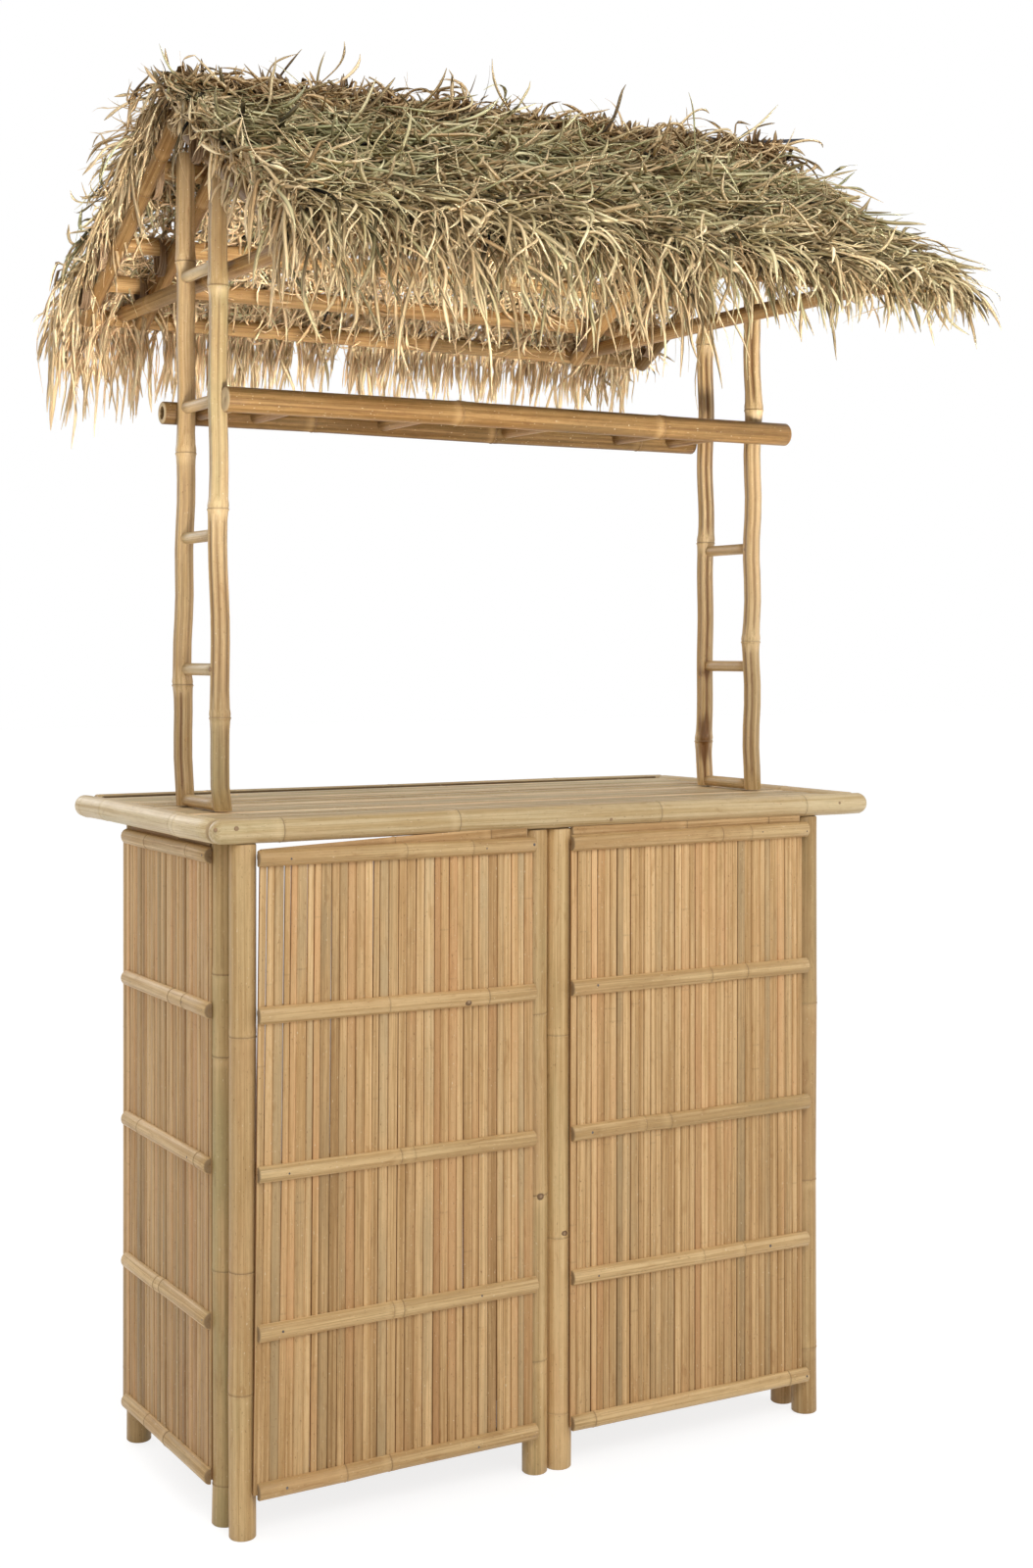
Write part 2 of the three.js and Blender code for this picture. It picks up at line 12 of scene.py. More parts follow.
import bpy
import numpy as np
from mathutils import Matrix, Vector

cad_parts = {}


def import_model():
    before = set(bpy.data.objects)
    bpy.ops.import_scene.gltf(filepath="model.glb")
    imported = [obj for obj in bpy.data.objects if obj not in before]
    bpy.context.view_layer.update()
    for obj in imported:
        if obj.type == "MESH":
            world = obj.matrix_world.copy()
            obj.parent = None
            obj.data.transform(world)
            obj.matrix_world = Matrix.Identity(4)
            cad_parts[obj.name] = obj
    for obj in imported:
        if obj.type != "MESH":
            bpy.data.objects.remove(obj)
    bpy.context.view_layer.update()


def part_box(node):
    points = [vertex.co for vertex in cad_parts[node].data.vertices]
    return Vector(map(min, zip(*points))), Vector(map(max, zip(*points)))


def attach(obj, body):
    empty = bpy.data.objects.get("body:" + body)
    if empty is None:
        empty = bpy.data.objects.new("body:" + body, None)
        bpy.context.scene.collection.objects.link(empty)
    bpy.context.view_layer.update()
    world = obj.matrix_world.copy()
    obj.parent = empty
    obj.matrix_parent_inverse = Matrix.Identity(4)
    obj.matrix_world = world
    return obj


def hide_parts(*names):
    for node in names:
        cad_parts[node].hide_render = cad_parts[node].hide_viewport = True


Array = np.ndarray
Colour = tuple[float, float, float]
LOG = logging.getLogger("hut")

MM = 0.001
TURN = 2 * math.pi
X_AXIS = np.array([1.0, 0.0, 0.0])
Y_AXIS = np.array([0.0, 1.0, 0.0])
Z_AXIS = np.array([0.0, 0.0, 1.0])
PATTERN_SPREAD = 50.0


# ---------------------------------------------------------------- surfaces


@dataclass
class Skin:
    """A closed surface and what each of its points tells the finish.

    Attributes:
        points: places in metres, one row a point.
        quads: four point numbers a face.
        tris: three point numbers a face.
        grain: place across and along the fibre, in metres, for the finish's patterns.
        shade: tint from dark to light, hue along the finish's scale, and painted shade at edges and in grooves together
            with real scorch marks, or the share of a stalk.
        mark: strength of a joint's dark line, of its pale band, and of a cut end.
    """

    points: Array
    quads: Array
    tris: Array
    grain: Array
    shade: Array
    mark: Array

    def with_own_grain(self, rng: np.random.Generator) -> "Skin":
        """The same surface, with its pattern taken from a place of its own."""
        return replace(self, grain=self.grain + rng.uniform(0, PATTERN_SPREAD, 3))


def join(skins: Sequence[Skin]) -> Skin:
    """Puts surfaces into one, with the point numbers moved along.

    Args:
        skins: the surfaces.

    Returns:
        One surface that holds them all.
    """
    starts = np.cumsum([0] + [len(s.points) for s in skins[:-1]])
    return Skin(
        np.concatenate([s.points for s in skins]),
        *(np.concatenate([getattr(s, faces) + k for s, k in zip(skins, starts)]) for faces in ("quads", "tris")),
        *(np.concatenate([getattr(s, values) for s in skins]) for values in ("grain", "shade", "mark")),
    )


def unit(vectors: Array) -> Array:
    """Each vector divided by its length."""
    return vectors / np.maximum(np.linalg.norm(vectors, axis=-1, keepdims=True), 1e-12)


def square_to(direction: Array) -> Array:
    """A direction square to this one: as near X as can be, or Y for one that runs along X."""
    side = X_AXIS if abs(direction[0]) < 0.9 else Y_AXIS
    return unit(side - direction * (side @ direction))


def peak(distance: Array, centre: float, width: float) -> Array:
    """A bump of height 1 at the centre: e to the power of minus ((distance - centre) / width) squared."""
    return np.exp(-(((distance - centre) / width) ** 2))


def sweep(spine: Array, across: Array, up: Array, section: Array, run: Array, shade: Array, mark: Array) -> Skin:
    """Carries a closed section along a spine and closes both ends with a fan.

    Point (i, j) is spine i plus section (i, j).x times across i plus section (i, j).y times up i.
    The section turns from across towards up, and across x up points along the spine.

    Args:
        spine: (n, 3) centres.
        across: (n, 3) or (3,) first direction of the section's plane.
        up: (n, 3) or (3,) second direction.
        section: (n, m, 2) places in that plane.
        run: (n,) distance along the fibre.
        shade: (n, 3) or (n, m, 3) tint, hue and painted edge shade.
        mark: (n, 3) dark line, pale band and cut end.

    Returns:
        The surface.
    """
    n, m = section.shape[:2]
    across = np.broadcast_to(across, (n, 3))
    up = np.broadcast_to(up, (n, 3))
    shade = np.broadcast_to(shade if shade.ndim == 3 else shade[:, None], (n, m, 3))
    ring = spine[:, None] + section[..., :1] * across[:, None] + section[..., 1:] * up[:, None]
    tips = ring[[0, -1]].mean(axis=1)
    grain = np.concatenate([section, np.broadcast_to(run[:, None, None], (n, m, 1))], axis=-1)
    tip_grain = np.column_stack([np.zeros((2, 2)), run[[0, -1]]])
    i, j = np.meshgrid(np.arange(n - 1), np.arange(m), indexing="ij")
    k = (j + 1) % m
    quads = np.stack([i * m + j, i * m + k, (i + 1) * m + k, (i + 1) * m + j], axis=-1).reshape(-1, 4)
    around = np.arange(m)
    following = (around + 1) % m
    last = (n - 1) * m
    tris = np.concatenate([
        np.stack([np.full(m, n * m), following, around], axis=-1),
        np.stack([np.full(m, n * m + 1), last + around, last + following], axis=-1),
    ])
    return Skin(
        np.concatenate([ring.reshape(-1, 3), tips]),
        quads,
        tris,
        np.concatenate([grain.reshape(-1, 3), tip_grain]),
        np.concatenate([shade.reshape(-1, 3), shade[[0, -1], 0]]),
        np.concatenate([np.repeat(mark, m, axis=0), mark[[0, -1]]]),
    )


def piece(name: str, skins: Sequence[Skin], finish: "Finish", nodes: Iterable[str] = ()) -> bpy.types.Object:
    """Makes one object of some surfaces, rides it on the hut and gives it its finish.

    Args:
        name: the object's name.
        skins: its surfaces.
        finish: what dresses it.
        nodes: the CAD nodes that it stands for.

    Returns:
        The object, at the origin, with its place in its mesh.
    """
    skin = join(skins)
    mesh = bpy.data.meshes.new(name)
    loops = np.concatenate([skin.quads.ravel(), skin.tris.ravel()]).astype(np.int32)
    sides = np.concatenate([np.full(len(skin.quads), 4), np.full(len(skin.tris), 3)]).astype(np.int32)
    mesh.vertices.add(len(skin.points))
    mesh.vertices.foreach_set("co", skin.points.astype(np.float32).ravel())
    mesh.loops.add(len(loops))
    mesh.loops.foreach_set("vertex_index", loops)
    mesh.polygons.add(len(sides))
    mesh.polygons.foreach_set("loop_start", np.concatenate([[0], np.cumsum(sides)[:-1]]).astype(np.int32))
    mesh.polygons.foreach_set("loop_total", sides)
    mesh.polygons.foreach_set("use_smooth", np.ones(len(sides), bool))
    for label, values in (("grain", skin.grain), ("shade", skin.shade), ("mark", skin.mark)):
        attribute = mesh.attributes.new(label, "FLOAT_VECTOR", "POINT")
        attribute.data.foreach_set("vector", values.astype(np.float32).ravel())
    mesh.update(calc_edges=True)
    mesh.validate()
    mesh.set_sharp_from_angle(angle=math.radians(finish.sharp_angle))
    mesh.materials.append(finish.material())
    obj = bpy.data.objects.new(name, mesh)
    bpy.context.scene.collection.objects.link(obj)
    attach(obj, "root")
    nodes = list(nodes)
    if nodes:
        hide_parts(*nodes)
    LOG.info("%s: %d faces, in place of %s", name, len(sides), ", ".join(nodes) or "nothing")
    return obj


# ---------------------------------------------------------------- shader graph


class Socket:
    """A shader node's output, on which arithmetic adds Math nodes."""

    def __init__(self, graph: "Graph", link: bpy.types.NodeSocket) -> None:
        """Keeps the graph and the output."""
        self.graph = graph
        self.link = link

    def _math(self, operation: str, *operands: Union["Socket", float]) -> "Socket":
        """Adds a Math node over these operands."""
        return self.graph.node("ShaderNodeMath", {"operation": operation}, dict(enumerate(operands)))

    def __add__(self, other: Union["Socket", float]) -> "Socket":
        """self + other."""
        return self._math("ADD", self, other)

    def __radd__(self, other: float) -> "Socket":
        """other + self."""
        return self._math("ADD", other, self)

    def __sub__(self, other: Union["Socket", float]) -> "Socket":
        """self - other."""
        return self._math("SUBTRACT", self, other)

    def __rsub__(self, other: float) -> "Socket":
        """other - self."""
        return self._math("SUBTRACT", other, self)

    def __mul__(self, other: Union["Socket", float]) -> "Socket":
        """self * other."""
        return self._math("MULTIPLY", self, other)

    def __rmul__(self, other: float) -> "Socket":
        """other * self."""
        return self._math("MULTIPLY", other, self)

    def step(self, low: float, high: float) -> "Socket":
        """0 up to low, 1 from high on, and a smooth rise between."""
        settings = {"interpolation_type": "SMOOTHSTEP"}
        return self.graph.node("ShaderNodeMapRange", settings, {0: self, 1: low, 2: high})


class Graph:
    """The node tree of a material or of the world."""

    def __init__(self, owner: Union[bpy.types.Material, bpy.types.World]) -> None:
        """Empties the owner's tree.

        Args:
            owner: the material or the world.
        """
        owner.use_nodes = True
        self.owner = owner
        self.tree = owner.node_tree
        self.tree.nodes.clear()

    def node(
        self,
        kind: str,
        settings: dict[str, object],
        inputs: dict[Union[int, str], object],
        output: Union[int, str] = 0,
    ) -> Socket:
        """Adds a node.

        Args:
            kind: the node's type.
            settings: its properties, set first; "stops" gives a colour ramp's stops.
            inputs: a value or a Socket for each input, by number or name.
            output: which output to return.

        Returns:
            That output.
        """
        made = self.tree.nodes.new(kind)
        for key, value in settings.items():
            if key == "stops":
                self._set_stops(made, value)
            else:
                setattr(made, key, value)
        for key, value in inputs.items():
            if isinstance(value, Socket):
                self.tree.links.new(value.link, made.inputs[key])
            else:
                made.inputs[key].default_value = value
        return Socket(self, made.outputs[output]) if made.outputs else Socket(self, None)

    @staticmethod
    def _set_stops(ramp: bpy.types.Node, stops: Sequence[tuple[float, Colour]]) -> None:
        """Writes a colour ramp's stops.

        Args:
            ramp: the ramp's node.
            stops: each stop's place from 0 to 1 and its colour.
        """
        elements = ramp.color_ramp.elements
        while len(elements) < len(stops):
            elements.new(1.0)
        for element, (place, colour) in zip(elements, stops):
            element.position = place
            element.color = (*colour, 1.0)

    def attribute(self, name: str) -> Socket:
        """A mesh attribute, as a vector."""
        return self.node("ShaderNodeAttribute", {"attribute_name": name}, {}, "Vector")

    def split(self, vector: Socket) -> list[Socket]:
        """A vector's three numbers."""
        made = self.tree.nodes.new("ShaderNodeSeparateXYZ")
        self.tree.links.new(vector.link, made.inputs[0])
        return [Socket(self, out) for out in made.outputs]

    def stretch(self, vector: Socket, scale: Colour) -> Socket:
        """A vector times a scale for each axis."""
        return self.node("ShaderNodeVectorMath", {"operation": "MULTIPLY"}, {0: vector, 1: scale})

    def noise(self, vector: Socket, scale: Colour, detail: float = 2.0, distortion: float = 0.0) -> Socket:
        """Noise from 0 to 1 on a stretched vector, with scale in repeats a metre."""
        inputs = {"Vector": self.stretch(vector, scale), "Scale": 1.0, "Detail": detail, "Distortion": distortion}
        return self.node("ShaderNodeTexNoise", {}, inputs)

    def ramp(self, value: Socket, stops: Sequence[tuple[float, Colour]]) -> Socket:
        """A value turned into a colour."""
        return self.node("ShaderNodeValToRGB", {"stops": stops}, {0: value})

    def mix(self, share: Union[Socket, float], a: Union[Socket, Colour], b: Union[Socket, Colour]) -> Socket:
        """Colour a turning into colour b."""
        return self._blend("MIX", share, a, b)

    def multiply(self, share: Union[Socket, float], a: Union[Socket, Colour], b: Union[Socket, Colour]) -> Socket:
        """Colour a multiplied by colour b, to a share."""
        return self._blend("MULTIPLY", share, a, b)

    def _blend(self, how: str, share: object, a: object, b: object) -> Socket:
        """A colour Mix node."""
        colours = [c if isinstance(c, Socket) else (*c, 1.0) for c in (a, b)]
        settings = {"data_type": "RGBA", "blend_type": how}
        return self.node("ShaderNodeMix", settings, {0: share, 6: colours[0], 7: colours[1]}, 2)

    def warm(self, value: Socket) -> Socket:
        """A number as a colour to multiply by: white at 1, and browner the darker it gets."""
        green, blue = value * (value * 0.14 + 0.86), value * (value * 0.38 + 0.62)
        return self.node("ShaderNodeCombineColor", {}, {0: value, 1: green, 2: blue})

    def bump(self, height: Socket, distance: float, strength: float = 1.0) -> Socket:
        """A normal bent by a height."""
        return self.node("ShaderNodeBump", {}, {"Strength": strength, "Distance": distance, "Height": height})

    def surface(self, **inputs: object) -> bpy.types.Material:
        """Closes the tree with a Principled BSDF.

        Args:
            inputs: its inputs by name, with _ for a blank.

        Returns:
            The material.
        """
        named = {key.replace("_", " "): value for key, value in inputs.items()}
        shader = self.node("ShaderNodeBsdfPrincipled", {}, named)
        self.node("ShaderNodeOutputMaterial", {}, {0: shader})
        return self.owner


# ---------------------------------------------------------------- finishes


@dataclass(frozen=True)
class Finish:
    """What dresses a piece: a material made once, and a slot name.

    Attributes:
        name: the material's name.
        slot: a slot name, which nothing in this script reads.
        sharp_angle: the angle in degrees from which an edge between two faces looks sharp.
    """

    name: str
    slot: str

    sharp_angle: ClassVar[float] = 50.0
    _made: ClassVar[dict[str, bpy.types.Material]] = {}

    def material(self) -> bpy.types.Material:
        """The material, made on its first use."""
        if self.name not in Finish._made:
            Finish._made[self.name] = self.build(Graph(bpy.data.materials.new(self.name)))
        return Finish._made[self.name]

    def build(self, g: Graph) -> bpy.types.Material:
        """Lays out the material's nodes.

        Args:
            g: the material's empty graph.

        Returns:
            The material.
        """
        raise NotImplementedError


@dataclass(frozen=True)
class Bamboo(Finish):
    """Bamboo: fibre streaks, patches, specks, dark joint lines, pale bands, cut ends and painted shade along edges and
    in grooves.

    Attributes:
        pale: the light fibre's colour.
        warm: the darker fibre's colour.
        weathered: the grey or green colour at the hue scale's far end.
        orange: the colour at its near end.
        rough: roughness.
        end: a sawn end's colour.
        fibre_depth: height of the fibre's relief, in metres.
        streak: how strongly the streaks show.
        sheen: strength of its highlights.
    """

    pale: Colour
    warm: Colour
    weathered: Colour
    orange: Colour
    rough: float = 0.5
    end: Colour = (0.60, 0.44, 0.25)
    fibre_depth: float = 0.0003
    streak: float = 1.0
    sheen: float = 0.35

    def build(self, g: Graph) -> bpy.types.Material:
        """Fine and broad streaks run along the fibre, and tint, hue and marks come from the mesh.

        Args:
            g: the material's empty graph.

        Returns:
            The material.
        """
        grain = g.attribute("grain")
        tint, hue, edge = g.split(g.attribute("shade"))
        line, band, cut = g.split(g.attribute("mark"))
        fibre = g.noise(grain, (1100.0, 1100.0, 9.0), 3.0)
        broad = g.noise(grain, (210.0, 210.0, 1.8), 3.0, 0.3)
        patch = g.noise(grain, (34.0, 34.0, 10.0), 3.0)
        mottle = g.noise(grain, (260.0, 260.0, 60.0), 3.0)
        stain = g.noise(grain, (70.0, 70.0, 18.0), 4.0, 1.0).step(0.58, 0.74)
        scratch = g.noise(grain, (1500.0, 1500.0, 26.0), 1.0).step(0.66, 0.76)
        speck = g.noise(grain, (520.0, 520.0, 190.0), 1.0)

        tone = (broad - 0.5) * (2.0 * self.streak) + (fibre - 0.5) * (1.3 * self.streak) + (patch - 0.5) * 0.6 + 0.5
        colour = g.mix(tone.step(0.0, 1.0), self.pale, self.warm)
        drift = g.noise(grain, (25.0, 25.0, 4.5), 2.0)
        wave = hue + (drift - 0.5) * 1.1 + (broad - 0.5) * 0.4
        colour = g.mix(wave.step(0.5, 1.05) * 0.8, colour, self.weathered)
        colour = g.mix((1.0 - wave).step(0.5, 1.05) * 0.8, colour, self.orange)
        colour = g.multiply(1.0, colour, g.warm(tint * 0.62 + 0.69 + (mottle - 0.5) * 0.22))
        colour = g.multiply(stain * 0.4, colour, (0.66, 0.52, 0.36))
        colour = g.multiply(scratch * 0.45, colour, (0.5, 0.38, 0.26))
        colour = g.multiply(speck.step(0.70, 0.76) * 0.6, colour, (0.4, 0.28, 0.17))
        colour = g.mix((1.0 - speck).step(0.73, 0.78) * 0.6, colour, (0.86, 0.74, 0.52))
        colour = g.mix(band * 0.3, colour, tuple(min(1.0, c * 1.2 + 0.02) for c in self.pale))
        # Painted shade: the mesh's third shade number darkens slat and strip edges and culm grooves, and also carries
        # the posts' real scorch marks
        colour = g.multiply((edge * 0.85).step(0.0, 1.0), colour, (0.34, 0.22, 0.13))
        colour = g.mix(line * 0.72, colour, (0.15, 0.085, 0.04))
        ends = g.mix(g.noise(grain, (700.0, 700.0, 700.0), 2.0), self.end, tuple(c * 0.72 for c in self.end))
        colour = g.mix(cut, colour, ends)

        rough = self.rough + (patch - 0.5) * 0.2 + line * 0.3 + cut * 0.3 + (fibre - 0.5) * 0.12
        height = fibre * 0.7 + broad * 1.3 + mottle * 0.3 - line * 1.4
        normal = g.bump(height, self.fibre_depth, 0.8)
        return g.surface(Base_Color=colour, Roughness=rough, Normal=normal, Specular_IOR_Level=self.sheen)


@dataclass(frozen=True)
class Grass(Finish):
    """Dry grass: brown at the ridge, sage green on the slope and straw at the eaves."""

    sharp_angle: ClassVar[float] = 180.0
    SCALE: ClassVar[Sequence[tuple[float, Colour]]] = (
        (0.0, (0.10, 0.05, 0.019)),
        (0.22, (0.36, 0.205, 0.087)),
        (0.45, (0.71, 0.48, 0.245)),
        (0.62, (0.86, 0.65, 0.37)),
        (0.8, (0.68, 0.59, 0.32)),
        (1.0, (0.47, 0.455, 0.235)),
    )

    def build(self, g: Graph) -> bpy.types.Material:
        """The hue picks a colour off the scale, which then grows paler towards the stalk's tip.

        Args:
            g: the material's empty graph.

        Returns:
            The material.
        """
        grain = g.attribute("grain")
        tint, hue, share = g.split(g.attribute("shade"))
        vein = g.noise(grain, (700.0, 700.0, 10.0), 2.0)
        patch = g.noise(grain, (30.0, 30.0, 14.0), 2.0)
        colour = g.ramp(hue + (patch - 0.5) * 0.16, self.SCALE)
        colour = g.multiply(1.0, colour, g.warm(tint * 0.95 + 0.3 + (vein - 0.5) * 0.3))
        colour = g.mix(share.step(0.6, 1.0) * 0.3, colour, (0.80, 0.62, 0.37))
        normal = g.bump(vein, 0.0004, 0.6)
        return g.surface(Base_Color=colour, Roughness=0.6 + (vein - 0.5) * 0.2, Normal=normal, Specular_IOR_Level=0.25)


@dataclass(frozen=True)
class Rattan(Finish):
    """Dark brown rattan that lashes the roof frame."""

    sharp_angle: ClassVar[float] = 60.0

    def build(self, g: Graph) -> bpy.types.Material:
        """Long veins over a brown that changes slowly along the strip.

        Args:
            g: the material's empty graph.

        Returns:
            The material.
        """
        grain = g.attribute("grain")
        tint, _, _ = g.split(g.attribute("shade"))
        vein = g.noise(grain, (1600.0, 1600.0, 30.0), 2.0)
        patch = g.noise(grain, (60.0, 60.0, 25.0), 2.0)
        colour = g.mix(patch, (0.30, 0.18, 0.085), (0.16, 0.09, 0.04))
        colour = g.multiply(1.0, colour, g.warm(tint * 1.1 + 0.35 + vein * 0.3))
        return g.surface(Base_Color=colour, Roughness=0.42 + patch * 0.2, Normal=g.bump(vein, 0.0002), IOR=1.45)


@dataclass(frozen=True)
class Metal(Finish):
    """A dark rod or a dull nail.

    Attributes:
        colour: the metal's colour.
        worn: the colour where it is rubbed.
        metallic: how much it is bare metal.
        rough: roughness.
    """

    colour: Colour
    worn: Colour
    metallic: float
    rough: float

    sharp_angle: ClassVar[float] = 40.0

    def build(self, g: Graph) -> bpy.types.Material:
        """Small worn patches and scratches along the piece.

        Args:
            g: the material's empty graph.

        Returns:
            The material.
        """
        grain = g.attribute("grain")
        patch = g.noise(grain, (260.0, 260.0, 60.0), 3.0)
        scratch = g.noise(grain, (1500.0, 1500.0, 40.0), 2.0)
        colour = g.mix(patch.step(0.5, 0.75), self.colour, self.worn)
        rough = self.rough + (scratch - 0.5) * 0.25
        return g.surface(Base_Color=colour, Metallic=self.metallic, Roughness=rough, Normal=g.bump(scratch, 0.0001))


POLE = Bamboo(
    "pole bamboo", "pole_bamboo", (0.66, 0.455, 0.215), (0.50, 0.305, 0.12), (0.40, 0.32, 0.14), (0.60, 0.345, 0.15),
    rough=0.45, streak=1.5,
)
SLAT = Bamboo(
    "slat bamboo", "slat_bamboo", (0.73, 0.48, 0.228), (0.50, 0.29, 0.112), (0.46, 0.325, 0.165), (0.66, 0.36, 0.155),
    rough=0.52, streak=1.75, fibre_depth=0.0004,
)
# Painted shade: the battens' dark sawn ends stand for the shadow where they meet the poles
BATTEN = Bamboo(
    "batten bamboo", "batten_bamboo", (0.64, 0.44, 0.21), (0.45, 0.275, 0.11), (0.38, 0.30, 0.145), (0.56, 0.33, 0.14),
    rough=0.46, end=(0.34, 0.225, 0.115), streak=1.6,
)
RIM = Bamboo(
    "rim bamboo", "rim_bamboo", (0.69, 0.53, 0.295), (0.54, 0.37, 0.165), (0.50, 0.43, 0.21), (0.64, 0.42, 0.20),
    rough=0.38, sheen=0.45, streak=1.8,
)
STRIP = Bamboo(
    "strip bamboo", "strip_bamboo", (0.76, 0.60, 0.36), (0.42, 0.28, 0.135), (0.44, 0.35, 0.19), (0.64, 0.41, 0.20),
    streak=2.1, fibre_depth=0.0006, sheen=0.25,
)
POST = Bamboo(
    "post bamboo", "post_bamboo", (0.62, 0.44, 0.225), (0.43, 0.27, 0.11), (0.45, 0.38, 0.18), (0.56, 0.33, 0.14),
    rough=0.4, end=(0.80, 0.68, 0.47), sheen=0.4, streak=1.6,
)
FRAME = Bamboo(
    "frame bamboo", "frame_bamboo", (0.58, 0.36, 0.15), (0.34, 0.18, 0.062), (0.26, 0.18, 0.085), (0.48, 0.25, 0.085),
    rough=0.48, streak=1.4, sheen=0.15,
)
THATCH = Grass("grass thatch", "thatch_straw")
RIDGE = Grass("ridge thatch", "ridge_straw")
RATTAN = Rattan("rattan lashing", "frame_bamboo")
ROD = Metal("dark rod", "ridge_metal", (0.035, 0.035, 0.045), (0.07, 0.07, 0.085), 0.3, 0.45)
NAIL = Metal("nail heads", "ridge_metal", (0.16, 0.13, 0.11), (0.30, 0.27, 0.24), 0.6, 0.5)


# ---------------------------------------------------------------- bamboo


class End(Enum):
    """How a culm's end is made."""

    CUT = "sawn flat"
    DOME = "rounded off"
    OPEN = "sawn and hollow"


@dataclass
class Culm:
    """A round bamboo culm between two points.

    Attributes:
        start: its first end, in metres.
        end: its other end.
        radius: its radius between joints.
        joints: distances of the joints from start.
        seed: what makes its own bends and tints.
        bend: how far a joint may lie off the straight line.
        flute: depth of the grooves along each internode, as a share of the radius.
        flute_at: angle of the deepest groove.
        sway: how far it wanders between joints.
        kick: how far its first end is bent aside, over the last 45 mm.
        ring: how far a joint stands out, as a share of the radius.
        tint: lightness from 0 to 1.
        hue: place on the finish's hue scale.
        spread: how much tint and hue change from internode to internode.
        head: the first end.
        tail: the other end.
        columns: points round it.
        step: distance between rings away from the joints.
        round_edge: radius of a sawn end's rounded edge.
        bore_share: a hollow end's bore, as a share of the radius.
        bore_depth: how deep the bore goes.
        groove_mark: how strongly painted shade darkens the grooves.
        swell: how far the culm widens about a joint, as a share of the radius.
        fade: how much darker its end is than its start.
        scorches: dark marks on the flute's side, each its distance, half length and strength.
    """

    start: Array
    end: Array
    radius: float
    joints: Sequence[float] = ()
    seed: int = 0
    bend: float = 0.0012
    flute: float = 0.0
    flute_at: float = 0.0
    sway: float = 0.0
    kick: float = 0.0
    ring: float = 0.05
    tint: float = 0.5
    hue: float = 0.5
    spread: float = 0.12
    head: End = End.CUT
    tail: End = End.CUT
    columns: int = 32
    step: float = 0.035
    round_edge: float = 0.0018
    bore_share: float = 0.58
    bore_depth: float = 0.04
    groove_mark: float = 0.6
    swell: float = 0.0
    fade: float = 0.0
    scorches: Sequence[tuple[float, float, float]] = ()

    KICK_REACH: ClassVar[float] = 0.045
    JOINT_ROWS: ClassVar[Array] = MM * np.array(
        [-20, -12, -8, -5, -3.4, -2.2, -1.3, -0.6, 0, 0.6, 1.3, 2.4, 4, 6.5, 10, 15]
    )
    GROOVES: ClassVar[Sequence[tuple[float, float]]] = ((0.0, 1.0), (0.95, 0.6), (-1.0, 0.7), (np.pi, 0.8), (2.2, 0.4))

    def length(self) -> float:
        """The distance between its ends."""
        return float(np.linalg.norm(np.asarray(self.end) - np.asarray(self.start)))

    def frame(self) -> tuple[Array, Array, Array]:
        """Its direction and two directions across it."""
        along = unit(np.asarray(self.end, float) - np.asarray(self.start, float))
        across = square_to(along)
        return along, across, np.cross(along, across)

    def internodes(self, distance: Array) -> tuple[Array, Array]:
        """The places of its ends and joints, and the number of the internode that each distance is in."""
        edges = np.concatenate([[0], np.sort(self.joints), [self.length()]])
        return edges, np.clip(np.searchsorted(edges, distance, side="right") - 1, 0, len(edges) - 2)

    def _end_rows(self, kind: End) -> Array:
        """The rings that close an end, from the middle outwards.

        Args:
            kind: how the end is closed.

        Returns:
            (n, 3) distances from the end, shares of the radius and strengths of the cut's look.
        """
        lip = self.round_edge
        edge = 1 - lip / self.radius
        if kind is End.DOME:
            turn = np.radians([12, 30, 48, 64, 78])
            return np.column_stack([self.radius * (1 - np.cos(turn)), np.sin(turn), np.zeros(5)])
        face = [(0, edge * 0.97, 1), (lip * 0.3, (1 + 2 * edge) / 3, 0.6), (lip, 1, 0)]
        if kind is End.OPEN:
            bore = self.bore_share
            return np.array([(self.bore_depth, bore * 0.9, 0), (lip, bore, 0.1), (0, bore * 1.04, 1), *face])
        return np.array([(lip * 0.4, 0.16, 0.7), (0, 0.22, 1), *face])

    def rows(self) -> tuple[Array, Array, Array]:
        """The rings from start to end.

        Returns:
            Their distances, radius shares and cut strengths.
        """
        length = self.length()
        head, tail = self._end_rows(self.head), self._end_rows(self.tail)
        low = head[:, 0].max() if self.head is End.DOME else self.round_edge
        high = length - (tail[:, 0].max() if self.tail is End.DOME else self.round_edge)
        wall = [np.linspace(low, high, max(3, int((high - low) / self.step)))[1:-1]]
        wall += [joint + self.JOINT_ROWS for joint in self.joints]
        wall = np.unique(np.round(np.concatenate(wall), 5))
        wall = wall[(wall > low + 0.0005) & (wall < high - 0.0005)]
        distance = np.concatenate([head[:, 0], wall, length - tail[::-1, 0]])
        share = np.concatenate([head[:, 1], np.ones(len(wall)), tail[::-1, 1]])
        cut = np.concatenate([head[:, 2], np.zeros(len(wall)), tail[::-1, 2]])
        return distance, share, cut

